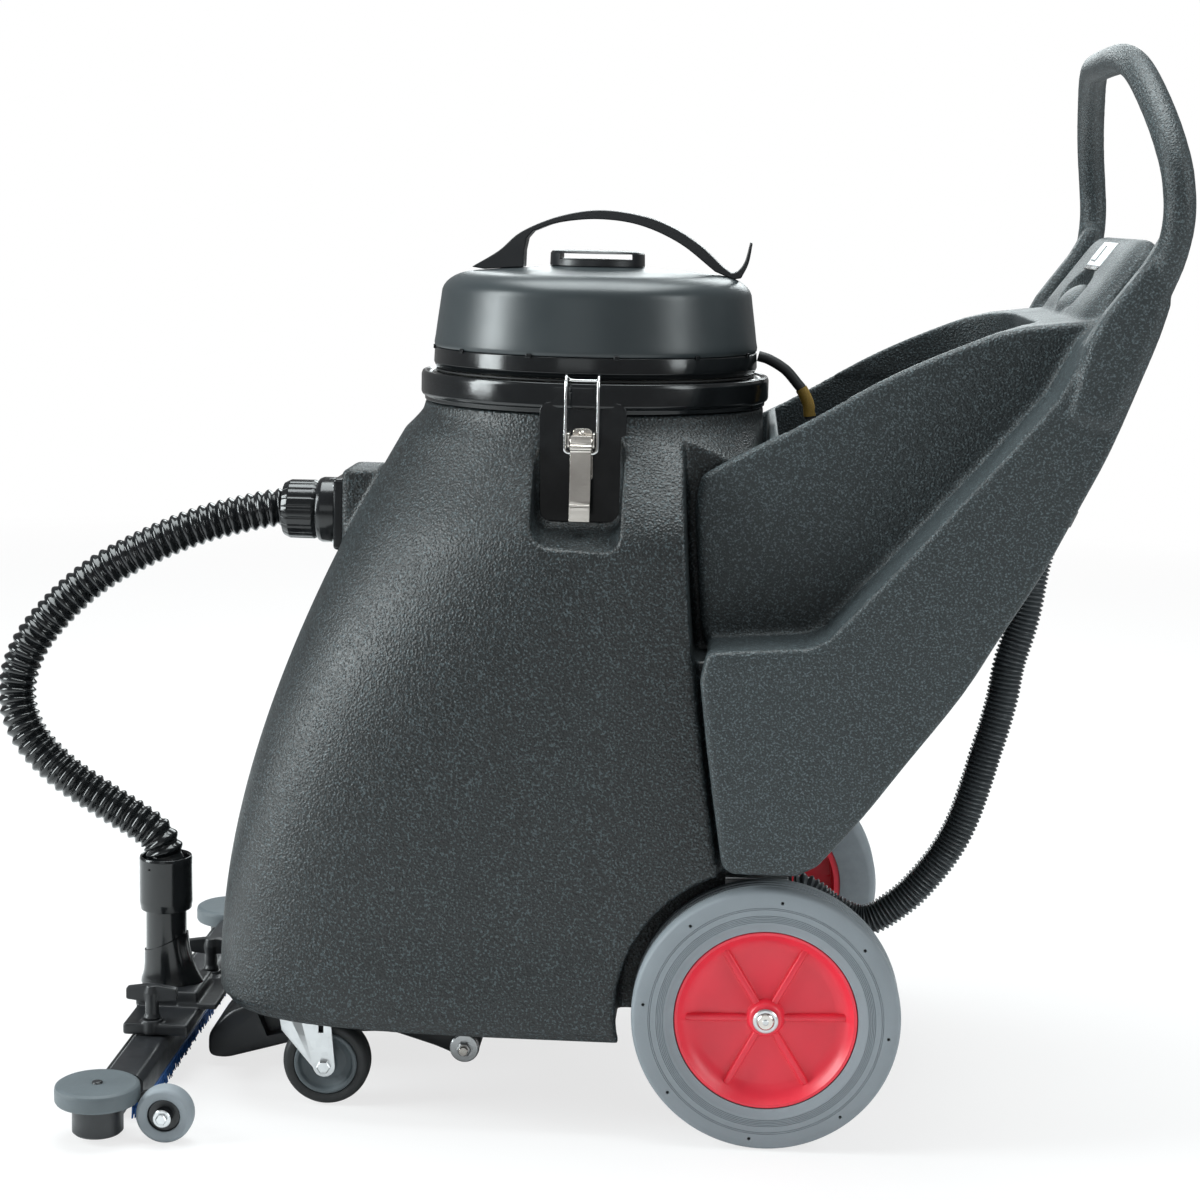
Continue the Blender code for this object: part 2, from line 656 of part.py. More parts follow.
def make_latch(label, side):
    y = side * LATCH_Y
    base = box(f"latch_base_{label}", (0.034, 0.0030, 0.050), STEEL, (NECK_X, side * 0.1748, 0.648))
    rounded(base, 0.0008, 1)
    for ear_side in (-1, 1):
        ear = box(f"latch_ear_{label}_{ear_side}", (0.0015, 0.022, 0.012),
                  location=(NECK_X + ear_side * 0.0118, side * 0.1845, LATCH_PIVOT_Z))
        boolean(base, ear, "UNION")
    pin_at = (NECK_X, y, LATCH_PIVOT_Z)
    pin = cylinder(f"latch_pin_{label}", 0.0016, 0.0245, location=pin_at, axis="X", sides=12)
    boolean(base, pin, "UNION")
    outline = [(0.0046, 0.006), (0.0055, -0.010), (0.0060, -0.060), (0.0085, -0.075), (0.0062, -0.076),
               (0.0038, -0.062), (-0.0035, -0.020), (-0.0040, -0.004), (-0.0035, 0.005)]
    lever = plate(f"latch_lever_{label}", [(side * a, b) for a, b in outline], 0.020, STEEL,
                  (NECK_X, y, LATCH_PIVOT_Z), (math.pi / 2, 0, math.pi / 2))
    boolean(lever, cylinder(f"lever_bore_{label}", 0.0016 + RUN, 0.03, location=(NECK_X, y, LATCH_PIVOT_Z),
                            axis="X", sides=12))
    boolean(lever, cylinder(f"anchor_bore_{label}", 0.0014 + RUN, 0.03, location=(NECK_X, y, LATCH_ANCHOR_Z),
                            axis="X", sides=12))
    half = 0.0152
    rise = 0.7165 - LATCH_ANCHOR_Z
    reach = -side * 0.0215
    bend = -side * 0.006
    arm = [(0.0075, 0, 0), (half - 0.003, 0, 0), (half, 0, 0.003), (half, 0, rise - 0.002),
           (half, bend, rise + 0.006), (half, reach, rise + 0.0015), (half - 0.004, reach, rise)]
    wire = arm + [(-x, a, b) for x, a, b in reversed(arm)]
    tube(f"latch_bail_{label}", wire, 0.0014, CHROME, 1, (NECK_X, y, LATCH_ANCHOR_Z))


# Motor head

def make_head():
    place_at = (NECK_X, 0, 0)
    ring = [(0.1610, 0.7375), (0.1620, 0.7345), (0.1620, 0.7165), (0.1500, 0.7165), (0.1500, 0.7250),
            (0.0460, 0.7250), (0.0460, 0.7300), (0.1480, 0.7300), (0.1500, 0.7375)]
    turned("head_base", ring, GLOSS_BLACK, place_at, sides=32)
    outer = [(0.0470, 0.8195), (0.0710, 0.8150), (0.1250, 0.8120), (0.1450, 0.8050), (0.1545, 0.7940),
             (0.1620, 0.7440)]
    inner = [(0.1590, 0.7378), (0.1530, 0.7378), (0.1480, 0.7930), (0.0, 0.8060)]
    turned("lid_shell", [(0.0, 0.8195)] + outer + inner, LID_GREY, place_at, sides=32)
    strap_outer = [(-0.125, 0.8165), (-0.098, 0.833), (-0.076, 0.852), (-0.039, 0.868), (0.001, 0.875),
                   (0.041, 0.871), (0.072, 0.861), (0.102, 0.843), (0.126, 0.8215)]
    hook = [(0.134, 0.8150), (0.1405, 0.817), (0.147, 0.827), (0.152, 0.847), (0.1545, 0.846), (0.151, 0.826),
            (0.144, 0.811), (0.134, 0.8095), (0.118, 0.8155)]
    strap_inner = [(0.082, 0.844), (0.042, 0.861), (0.001, 0.866), (-0.039, 0.862), (-0.064, 0.853),
                   (-0.071, 0.834), (-0.073, 0.8172)]
    foot = [(-0.100, 0.8155), (-0.112, 0.8145)]
    plate("carry_strap", strap_outer + hook + strap_inner + foot, 0.034, SATIN_BLACK, place_at)
    cap = turned("top_cap", [(0, 0.8350), (0.046, 0.8350), (0.0475, 0.8335), (0.0475, 0.8200), (0, 0.8200)],
                 SATIN_BLACK, place_at, sides=28)
    boolean(cap, box("cap_window", (0.070, 0.12, 0.0058), location=(NECK_X, 0, 0.8295)))
    make_head_inside(place_at)
    cable = [(-0.0255, 0, 0.7340), (-0.014, 0, 0.7305), (0.002, 0, 0.721), (0.014, 0, 0.708), (0.021, 0, 0.699),
             (0.028, 0, 0.683), (0.028, 0, 0.672)]
    tube("pigtail_cable", smooth_path(cable, 0.012), 0.0055, RUBBER, 2)


def make_head_inside(place_at):
    """Motor housing open below, fan, float cage with its ball, and the filter basket."""
    housing = [(0, 0.7960), (0.080, 0.7960), (0.088, 0.7900), (0.088, 0.7310), (0.078, 0.7310), (0.078, 0.7820),
               (0.006, 0.7820), (0.006, 0.7700), (0, 0.7700)]
    turned("motor_housing", housing, SATIN_BLACK, place_at, sides=24)
    fan = [(0.0, 0.7680), (0.060, 0.7680), (0.060, 0.7640), (0.020, 0.7620), (0.016, 0.7480), (0.0, 0.7480)]
    rotor = turned("motor_fan", fan, ALUMINIUM, place_at, sides=20)
    for i in range(4):
        blade = box(f"fan_blade_{i}", (0.090, 0.002, 0.014), location=(NECK_X, 0, 0.7570),
                    rotation=(0, 0, math.pi * i / 4))
        boolean(rotor, blade, "UNION")
    cage = [(0.0455, 0.7247), (0.0455, 0.6250), (0.0, 0.6250), (0.0, 0.6290), (0.0410, 0.6290), (0.0410, 0.7247)]
    float_cage = turned("float_cage", cage, SATIN_BLACK, place_at, sides=20)
    for i in range(2):
        window = box(f"cage_window_{i}", (0.12, 0.034, 0.070), location=(NECK_X, 0, 0.6720),
                     rotation=(0, 0, math.pi * i / 2))
        boolean(float_cage, window)
    mesh = bpy.data.meshes.new("float_ball")
    shape = bmesh.new()
    bmesh.ops.create_uvsphere(shape, u_segments=14, v_segments=9, radius=0.030)
    shape.to_mesh(mesh)
    shape.free()
    smooth(place(bpy.data.objects.new("float_ball", mesh), PALE, (NECK_X, 0, 0.6600)), 60)
    basket = [(0.1490, 0.7160), (0.1490, 0.7120), (0.1480, 0.7120), (0.1250, 0.5650), (0.0, 0.5650), (0.0, 0.5680),
              (0.1225, 0.5680), (0.1450, 0.7160)]
    turned("filter_basket", basket, FILTER, place_at, sides=24)


# Hose inlet, hoses and drain

def make_inlet():
    thickness = 0.012
    flange = box("inlet_flange", (thickness, 0.076, 0.073), GLOSS_BLACK, (INLET_X - thickness / 2, 0, INLET_Z))
    rounded(flange, 0.004)
    cuff = [(0.0335, 0.0), (0.0335, 0.020), (0.0300, 0.024), (0.0295, 0.050), (0.0265, 0.056), (0.0205, 0.056),
            (0.0205, 0.0)]
    profile = [(radius, height) for radius, height in reversed(cuff)]
    place_at = (INLET_X - thickness - GAP, 0, INLET_Z)
    turned("inlet_cuff", profile, GLOSS_BLACK, place_at, (0, -math.pi / 2, 0), sides=24)


def make_vacuum_hose():
    """One smooth sleeve on the corrugated hose's centre line."""
    keys = [(-0.508, 0.000, 0.567), (-0.537, -0.005, 0.562), (-0.588, -0.010, 0.548), (-0.640, -0.015, 0.526),
            (-0.693, -0.020, 0.496), (-0.734, -0.025, 0.460), (-0.766, -0.030, 0.417), (-0.7770, -0.036, 0.371),
            (-0.763, -0.042, 0.329), (-0.729, -0.047, 0.294), (-0.685, -0.051, 0.266), (-0.648, -0.054, 0.2450),
            (-0.6275, HEAD_Y, 0.2300), (-0.6190, HEAD_Y, 0.2135)]
    tube("vacuum_hose", smooth_path(keys, 0.030), HOSE_R, GLOSS_BLACK, 2)


def make_drain():
    """Elbow at the tank's rear foot, the hanging hose, its cap and the clip that holds it to the caddy."""
    profile = [(0.0155, 0.030), (0.0155, -0.004), (0.0240, -0.004), (0.0240, -0.012), (0.0105, -0.012),
               (0.0105, 0.030)]
    turned("drain_port", profile, SATIN_BLACK, (TANK_REAR_X + 0.0125, 0, DRAIN_Z), (0, math.pi / 2, 0), sides=18)
    keys = [(0.0285, 0, DRAIN_Z), (0.043, 0, DRAIN_Z - 0.001), (0.072, 0, 0.162), (0.105, 0, 0.153),
            (0.141, 0, 0.176), (0.166, 0, 0.204), (0.186, 0, 0.234), (0.200, 0, 0.265), (0.211, 0, 0.301),
            (0.220, 0, 0.336), (0.227, 0, 0.362), (0.234, 0, 0.394), (0.239, 0, 0.428), (0.248, 0, 0.462),
            (0.2535, 0, 0.488), (0.2605, 0, 0.535), (DRAIN_FOOT[0], 0, DRAIN_FOOT[1]),
            (DRAIN_END[0], 0, DRAIN_END[1])]
    tube("drain_hose", smooth_path(keys, 0.028), DRAIN_R, RUBBER, 2)
    tilt = math.atan2(DRAIN_END[0] - DRAIN_FOOT[0], DRAIN_END[1] - DRAIN_FOOT[1])
    end = Vector((DRAIN_END[0], 0, DRAIN_END[1]))
    cap = turned("drain_cap", [(0.0, 0.016), (0.0185, 0.016), (0.0195, 0.012), (0.0195, GAP * 2), (0.0, GAP * 2)],
                 SATIN_BLACK, end, (0, tilt, 0), sides=24)
    smooth(cap)
    along = Vector((math.sin(tilt), 0, math.cos(tilt)))
    inwards = Vector((-math.cos(tilt), 0, math.sin(tilt)))
    middle = end - along * 0.028
    clip = turned("hose_clip", [(0.0205, 0.009), (0.0205, -0.009), (0.0178, -0.009), (0.0178, 0.009)], SATIN_BLACK,
                  middle, (0, tilt, 0), sides=24)
    tongue = box("clip_tongue", (TONGUE_LENGTH, 0.018, 0.014),
                 location=middle + inwards * (0.0190 + TONGUE_LENGTH / 2), rotation=(0, tilt, 0))
    boolean(clip, tongue, "UNION")


# Squeegee assembly

def make_lift_arm():
    top = [(-0.2850, 0.046), (-0.330, 0.056), (-0.400, 0.066), (-0.480, 0.072), (-0.522, 0.068), (-0.545, 0.058),
           (-0.566, 0.034)]
    bottom = [(-0.566, 0.010), (-0.548, 0.008), (-0.500, 0.022), (-0.440, 0.040), (-0.377, 0.044), (-0.330, 0.030),
              (-0.301, 0.018), (-0.2880, 0.022)]
    arm = rounded(plate("lift_arm", top + bottom, 0.090, SATIN_BLACK, (0, HEAD_Y + 0.005, 0)), 0.003, 1)
    boolean(arm, cylinder("pivot_hole", 0.005 + RUN, 0.2, location=(LIFT_X, HEAD_Y, LIFT_Z), axis="Y", sides=20))
    cylinder("lift_pivot_pin", 0.005, 0.132, STEEL, (LIFT_X, HEAD_Y + 0.005, LIFT_Z), "Y", 20)
    for label, side in SIDES:
        y = HEAD_Y + 0.005 + side * 0.050
        outline = [(-0.030, 0.1102), (0.030, 0.1102), (0.020, 0.0477), (-0.020, 0.0477)]
        ear = plate(f"lift_bracket_{label}", outline, 0.004, ZINC, (LIFT_X, y, 0))
        eye = cylinder(f"bracket_eye_{label}", 0.015, 0.004, location=(LIFT_X, y, LIFT_Z), axis="Y", sides=24)
        boolean(ear, eye, "UNION")
        web = box(f"bracket_web_{label}", (0.020, 0.004, 0.024), location=(LIFT_X, y, LIFT_Z + 0.014))
        boolean(ear, web, "UNION")
        boolean(ear, cylinder(f"bracket_hole_{label}", 0.005 + 0.0002, 0.02, location=(LIFT_X, y, LIFT_Z),
                              axis="Y", sides=20))


def make_squeegee():
    bar = box("squeegee_bar", (0.042, 2 * BAR_HALF_LENGTH, BAR_TOP - BAR_BOTTOM), SATIN_BLACK,
              (BAR_X, 0, (BAR_TOP + BAR_BOTTOM) / 2))
    body = rounded(bar, 0.003, 1)
    for side in (-1, 1):
        housing = cylinder(f"end_housing_{side}", 0.024, 0.029, location=(BAR_X - 0.012, side * END_Y, 0.0205),
                           sides=20)
        boolean(body, housing, "UNION")
        neck = box(f"end_neck_{side}", (0.030, 0.050, 0.0144), location=(BAR_X - 0.004, side * 0.268, 0.027))
        boolean(body, neck, "UNION")
        fork = box(f"wheel_arm_{side}", (0.052, 0.008, 0.016), location=(BAR_X + 0.034, side * 0.2745, 0.027))
        boolean(body, fork, "UNION")
        stub = cylinder(f"wheel_stub_{side}", STUB_R, 0.044,
                        location=(BAR_X + 0.053, side * 0.293, SMALL_WHEEL_R), axis="Y", sides=12)
        boolean(body, stub, "UNION")
        post = cylinder(f"bumper_post_{side}", POST_R, 0.030, location=(BAR_X - 0.012, side * END_Y, 0.040),
                        sides=12)
        boolean(body, post, "UNION")
    brush = box("brush_strip", (0.014, 2 * BAR_HALF_LENGTH, BAR_BOTTOM - 0.0008), BRISTLE,
                (BAR_X + 0.0135, 0, BAR_BOTTOM / 2 + 0.0001))
    rounded(brush, 0.001, 1)
    blade = box("rubber_blade", (0.003, 2 * BAR_HALF_LENGTH - 0.006, 0.038), RUBBER, (BAR_X - 0.0231, 0, 0.0195))
    rounded(blade, 0.0006, 1)
    for label, side in SIDES:
        bumper = [(0.0365, 0.0090), (0.0400, 0.0045), (0.0400, -0.0045), (0.0365, -0.0090),
                  (POST_R + RUN, -0.0090), (POST_R + RUN, 0.0060), (0.014, 0.0090)]
        turned(f"bumper_{label}", bumper, BUMPER_GREY, (BAR_X - 0.012, side * END_Y, 0.0450), sides=24)
        wheel = [(0.0250, 0.0110), (SMALL_WHEEL_R, 0.0080), (SMALL_WHEEL_R, -0.0080), (0.0250, -0.0110),
                 (STUB_R + RUN, -0.0110), (STUB_R + RUN, 0.0110)]
        turned(f"squeegee_wheel_{label}", wheel, TYRE_GREY, (BAR_X + 0.053, side * 0.2975, SMALL_WHEEL_R),
               (math.pi / 2, 0, 0), sides=20)


def make_head_bracket():
    """Base on the bar that holds the suction elbow, the arm's front end and the two clamp knobs."""
    deck_z = 0.0540
    base = box("base_bracket", (0.066, 0.185, 0.012), SATIN_BLACK, (BAR_X + 0.006, HEAD_Y, deck_z))
    rounded(base, 0.002, 1)
    block = rounded(box("elbow_block", (0.064, 0.074, 0.018), location=(BAR_X + 0.004, HEAD_Y, deck_z + 0.013)),
                    0.003, 1)
    boolean(base, block, "UNION")
    tie = box("arm_tie", (0.040, 0.086, 0.006), location=(BAR_X + 0.036, HEAD_Y + 0.005, deck_z + 0.0075))
    boolean(base, tie, "UNION")
    pipe = [(0.0200, 0.1540 - GAP), (0.0205, 0.110), (0.0235, 0.095), (0.0290, 0.0763), (0.0150, 0.0763),
            (0.0170, 0.110), (0.0170, 0.1540 - GAP)]
    turned("elbow_pipe", pipe, GLOSS_BLACK, (PIPE_X, HEAD_Y, 0), sides=24)
    cuff = [(0.0265, 0.2100), (0.0270, 0.2050), (0.0270, 0.1620), (0.0255, 0.1540), (0.0150, 0.1540),
            (0.0150, 0.1960), (0.0215, 0.1960), (0.0240, 0.2100)]
    turned("pipe_cuff", cuff, GLOSS_BLACK, (PIPE_X, HEAD_Y, 0), sides=24)
    for label, x, y in (("left", BAR_X + 0.001, -0.1380), ("right", BAR_X + 0.025, 0.0240)):
        boss = cylinder(f"knob_boss_{label}", 0.011, 0.0150, location=(x, y, deck_z + 0.0018), sides=16)
        boolean(base, boss, "UNION")
        stem = [(0, 0.098), (0.006, 0.098), (0.008, 0.094), (0.008, 0.0637), (0, 0.0637)]
        knob = turned(f"clamp_knob_{label}", stem, SATIN_BLACK, (x, y, 0), sides=16)
        wings = rounded(box(f"knob_wings_{label}", (0.050, 0.009, 0.014), location=(x, y, 0.0900)), 0.003, 1)
        boolean(knob, wings, "UNION")


clear_scene()
PARTS = new_collection("recovery_vacuum")
CUTTERS = new_collection("cutters")
AXLE_FRAME = bpy.data.objects.new("axle_frame", None)
AXLE_FRAME.location = (AXLE_X, 0, 0)
PARTS.objects.link(AXLE_FRAME)
SIDES = (("left", -1), ("right", 1))

POLY_DARK = material("charcoal_polyethylene", (0.030, 0.036, 0.040), 0.55)
POLY_LIGHT = material("charcoal_polyethylene_caddy", (0.036, 0.043, 0.047), 0.50)
GLOSS_BLACK = material("gloss_black", (0.008, 0.009, 0.010), 0.18)
SATIN_BLACK = material("satin_black", (0.015, 0.017, 0.018), 0.40)
LID_GREY = material("slate_grey_lid", (0.043, 0.052, 0.060), 0.30)
TYRE_GREY = material("grey_tyre", (0.215, 0.245, 0.270), 0.60)
BUMPER_GREY = material("grey_bumper", (0.130, 0.150, 0.160), 0.55)
HUB_RED = material("crimson_hub", (0.560, 0.030, 0.055), 0.38)
RUBBER = material("black_rubber", (0.016, 0.016, 0.017), 0.65)
STEEL = material("nickel_steel", (0.520, 0.490, 0.460), 0.25, 1.0)
CHROME = material("chrome_wire", (0.700, 0.700, 0.700), 0.12, 1.0)
ZINC = material("zinc_plate", (0.600, 0.620, 0.630), 0.32, 1.0)
ALUMINIUM = material("cast_aluminium", (0.500, 0.510, 0.520), 0.40, 1.0)
PALE = material("pale_plastic", (0.720, 0.730, 0.740), 0.40)
FILTER = material("filter_cloth", (0.400, 0.390, 0.360), 0.90)
BRISTLE = material("blue_bristle", (0.010, 0.110, 0.330), 0.60)

make_tank()
make_collar()
make_caddy()
make_switch()
make_axle()
for LABEL, SIDE in SIDES:
    make_wheel(LABEL, SIDE)
    make_caster(LABEL, SIDE)
    make_latch(LABEL, SIDE)
make_head()
make_inlet()
make_vacuum_hose()
make_drain()
make_lift_arm()
make_squeegee()
make_head_bracket()
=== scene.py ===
"""Looks of the wet recovery vacuum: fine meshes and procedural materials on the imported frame.

Metres, +Z up. Shapes are counted from the rear axle, with +X towards the handle, as in the CAD model;
place() carries every piece forward to the frame's own origin.
"""

import json
import math
import random

import bmesh
import bpy
from mathutils import Matrix, Vector
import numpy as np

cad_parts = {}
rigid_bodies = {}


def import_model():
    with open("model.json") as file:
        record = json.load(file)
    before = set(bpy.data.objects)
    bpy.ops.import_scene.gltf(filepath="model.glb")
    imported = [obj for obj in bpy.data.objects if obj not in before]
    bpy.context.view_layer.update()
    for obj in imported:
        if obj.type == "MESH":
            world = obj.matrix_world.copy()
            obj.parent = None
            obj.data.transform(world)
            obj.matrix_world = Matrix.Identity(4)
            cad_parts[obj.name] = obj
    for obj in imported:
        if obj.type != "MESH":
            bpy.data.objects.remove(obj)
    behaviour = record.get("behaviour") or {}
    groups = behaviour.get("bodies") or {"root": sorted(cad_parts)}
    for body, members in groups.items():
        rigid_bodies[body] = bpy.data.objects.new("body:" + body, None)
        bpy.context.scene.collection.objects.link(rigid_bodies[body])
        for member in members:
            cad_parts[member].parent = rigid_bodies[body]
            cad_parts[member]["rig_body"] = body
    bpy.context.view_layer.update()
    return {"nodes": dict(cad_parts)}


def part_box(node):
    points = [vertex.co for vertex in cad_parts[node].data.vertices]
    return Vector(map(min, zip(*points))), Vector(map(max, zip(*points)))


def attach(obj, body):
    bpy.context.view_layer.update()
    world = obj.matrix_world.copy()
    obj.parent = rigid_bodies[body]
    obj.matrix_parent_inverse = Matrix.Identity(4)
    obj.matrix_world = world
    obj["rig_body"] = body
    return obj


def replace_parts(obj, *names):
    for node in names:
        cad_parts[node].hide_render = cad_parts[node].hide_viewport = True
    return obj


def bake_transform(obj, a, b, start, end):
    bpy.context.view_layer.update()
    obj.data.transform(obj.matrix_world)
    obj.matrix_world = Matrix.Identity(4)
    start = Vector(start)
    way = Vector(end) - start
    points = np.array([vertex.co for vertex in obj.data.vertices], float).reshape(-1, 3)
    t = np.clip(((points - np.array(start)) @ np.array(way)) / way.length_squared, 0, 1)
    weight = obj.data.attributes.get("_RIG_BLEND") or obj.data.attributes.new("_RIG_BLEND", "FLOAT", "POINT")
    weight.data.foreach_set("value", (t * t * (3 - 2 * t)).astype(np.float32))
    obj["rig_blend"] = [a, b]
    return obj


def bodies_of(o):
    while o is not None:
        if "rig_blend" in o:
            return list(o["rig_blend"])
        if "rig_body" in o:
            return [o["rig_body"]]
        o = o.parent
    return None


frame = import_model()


def middle(node):
    low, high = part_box(node)
    return (low + high) / 2


AXLE = Vector((middle("rear_axle").x, 0, 0))


def spot(node):
    """Centre of a CAD node, counted from the axle."""
    return middle(node) - AXLE


def half_size(node):
    low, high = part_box(node)
    return (high - low) / 2


# Driving dimensions, as in the CAD model
WHEEL_R = half_size("rear_tyre_left").z
WHEEL_HALF = half_size("rear_tyre_left").y
HUB_R = half_size("rear_hub_left").z
NECK_X = spot("tank_collar").x
NECK_R = 0.170
NECK_Z = 0.684
SHOULDER_Z = 0.560
TANK_BOTTOM = 0.0915
TANK_LIP_Z = 0.103
TANK_REAR_X = -0.016
TANK_HALF_WIDTH = 0.246
TANK_WIDEST_X = -0.085
NOSE_X = -0.549
NOSE_Z = 0.120
NOSE_SWEEP = 0.5315
NOSE_POWER = 1.826
FLOOR_Z = 0.111
ARCH_R = 0.1425
ARCH_INNER_Y = 0.190
INLET_X = -0.437
INLET_Z = 0.566
BAND_HALF_WIDTH = 0.262  # the caddy's wide lower band
BAND_INNER_Y = 0.236
PANEL_HALF_WIDTH = 0.180  # the narrower box above the band's ledge
PANEL_INNER_Y = 0.166
LEDGE_Z = 0.477
LEDGE_WALL = 0.009
WING_FOOT_Z = 0.270
WING_TOP_Z = 0.634
WING_GAP = 0.0045
SHOULDER_GAP = 0.0065
BIN_HALF_WIDTH = 0.171
BIN_FLOOR_Z = 0.290
BIN_REAR_X = 0.238
POCKET_HALF_WIDTH = 0.253
POCKET_FLOOR_Z = 0.310
ARM_Y = 0.250
ARM_R = 0.0143
FACE_FOOT = (0.271, 0.789)
FACE_TOP = (0.3215, 0.857)
FACE_SLOPE = math.atan2(FACE_TOP[1] - FACE_FOOT[1], FACE_TOP[0] - FACE_FOOT[0])
SWITCH_SHARE = 0.79
SWITCH_LENGTH = 0.088
ROCKER_Y = 0.020
HEAD_Y = spot("elbow_pipe").y
BAR_X = spot("elbow_pipe").x + 0.004
DRAIN_Z = 0.183
DRAIN_FOOT = (0.272, 0.572)
DRAIN_END = (0.290, 0.612)
SIDES = (("left", -1), ("right", 1))
VOXEL = 0.0028  # remesh size of the two big mouldings


# Numbers and outlines

def ease(t):
    t = min(max(t, 0.0), 1.0)
    return t * t * (3 - 2 * t)


def mix(a, b, share):
    return a + (b - a) * share


def power(value, exponent):
    """Signed power, for superellipses."""
    return math.copysign(abs(value) ** exponent, value)


def smooth_path(keys, step):
    """Points about a step apart on the Catmull-Rom curve through the keys."""
    keys = [Vector(key) for key in keys]
    padded = [2 * keys[0] - keys[1]] + keys + [2 * keys[-1] - keys[-2]]
    path = []
    for a, b, c, d in zip(padded, padded[1:], padded[2:], padded[3:]):
        pieces = max(1, round((c - b).length / step))
        for i in range(pieces):
            t = i / pieces
            path.append(0.5 * (2 * b + (c - a) * t + (2 * a - 5 * b + 4 * c - d) * t**2
                               + (3 * b - a - 3 * c + d) * t**3))
    return path + [keys[-1]]


def filleted(outline, radius, steps=4):
    """A closed outline with each corner replaced by a curve that starts a radius before it."""
    corners = [Vector(point) for point in outline]
    rounded_outline = []
    for before, corner, after in zip(corners[-1:] + corners[:-1], corners, corners[1:] + corners[:1]):
        start = corner + (before - corner) * min(radius / (before - corner).length, 0.45)
        end = corner + (after - corner) * min(radius / (after - corner).length, 0.45)
        for i in range(steps + 1):
            t = i / steps
            rounded_outline.append(start * (1 - t) ** 2 + corner * 2 * t * (1 - t) + end * t**2)
    return [tuple(point) for point in rounded_outline]


def circle(radius, sides, centre=(0, 0)):
    turns = [2 * math.pi * i / sides for i in range(sides)]
    return [(centre[0] + radius * math.cos(a), centre[1] + radius * math.sin(a)) for a in turns]


# Meshes

def place(name, shape, surface=None, location=(0, 0, 0), rotation=(0, 0, 0)):
    """Links a finished bmesh as an object whose location is counted from the axle."""
    mesh = bpy.data.meshes.new(name)
    shape.to_mesh(mesh)
    shape.free()
    mesh.shade_smooth()
    obj = bpy.data.objects.new(name, mesh)
    bpy.context.scene.collection.objects.link(obj)
    obj.location = AXLE + Vector(location)
    obj.rotation_euler = rotation
    if surface:
        mesh.materials.append(surface)
    bpy.context.view_layer.update()
    return obj


def baked(obj):
    """Replaces the mesh by the evaluated one and drops the modifiers."""
    graph = bpy.context.evaluated_depsgraph_get()
    mesh = bpy.data.meshes.new_from_object(obj.evaluated_get(graph))
    obj.modifiers.clear()
    obj.data = mesh
    return obj


def creased(obj, angle=35):
    obj.data.shade_smooth()
    obj.data.set_sharp_from_angle(angle=math.radians(angle))
    return obj


def rounded(obj, width, segments=3, angle=30):
    """Bevels the sharp edges and keeps the flat faces flat in shading."""
    obj.data.shade_smooth()
    bevel = obj.modifiers.new("bevel", "BEVEL")
    bevel.width = width
    bevel.segments = segments
    bevel.limit_method = "ANGLE"
    bevel.angle_limit = math.radians(angle)
    obj.modifiers.new("normals", "WEIGHTED_NORMAL")
    return baked(obj)


def combined(obj, operation, others):
    for other in others:
        modifier = obj.modifiers.new(other.name, "BOOLEAN")
        modifier.operation = operation
        modifier.object = other
        modifier.solver = "EXACT"
    baked(obj)
    for other in others:
        bpy.data.objects.remove(other, do_unlink=True)
    return obj


def joined(obj, *others):
    return combined(obj, "UNION", others)


def cut(obj, *others):
    return combined(obj, "DIFFERENCE", others)


def softened(obj, voxel, rounds):
    """Remeshes evenly and relaxes, which rounds every edge the way a mould does."""
    remesh = obj.modifiers.new("remesh", "REMESH")
    remesh.mode = "VOXEL"
    remesh.voxel_size = voxel
    relax = obj.modifiers.new("relax", "SMOOTH")
    relax.factor = 0.5
    relax.iterations = rounds
    baked(obj)
    obj.data.shade_smooth()
    return obj


def box(name, size, surface=None, location=(0, 0, 0), rotation=(0, 0, 0), edge=0.0):
    shape = bmesh.new()
    bmesh.ops.create_cube(shape, size=1.0)
    bmesh.ops.scale(shape, vec=size, verts=shape.verts)
    obj = place(name, shape, surface, location, rotation)
    return rounded(obj, edge) if edge else obj


def loft(name, rings, surface=None, location=(0, 0, 0), rotation=(0, 0, 0), ring_closed=False):
    """A body through rings of equal count: capped at both ends, or closed on itself."""
    shape = bmesh.new()
    rows = [[shape.verts.new(point) for point in ring] for ring in rings]
    count = len(rows[0])
    pairs = list(zip(rows, rows[1:])) + ([(rows[-1], rows[0])] if ring_closed else [])
    for low, high in pairs:
        for i in range(count):
            j = (i + 1) % count
            shape.faces.new((low[i], low[j], high[j], high[i]))
    if not ring_closed:
        shape.faces.new(list(reversed(rows[0])))
        shape.faces.new(rows[-1])
    bmesh.ops.remove_doubles(shape, verts=shape.verts, dist=0.000001)
    bmesh.ops.recalc_face_normals(shape, faces=shape.faces)
    return place(name, shape, surface, location, rotation)


def turned(name, profile, surface=None, location=(0, 0, 0), rotation=(0, 0, 0), sides=96, edge=0.0,
           flute=None, angle=35):
    """A closed (radius, height) profile turned about local Z; flute(angle) scales its radius."""
    outline = filleted(profile, edge) if edge else profile
    rings = []
    for radius, height in outline:
        ring = []
        for i in range(sides):
            turn = 2 * math.pi * i / sides
            scale = flute(turn) if flute else 1.0
            ring.append((radius * scale * math.cos(turn), radius * scale * math.sin(turn), height))
        rings.append(ring)
    return creased(loft(name, rings, surface, location, rotation, ring_closed=True), angle)


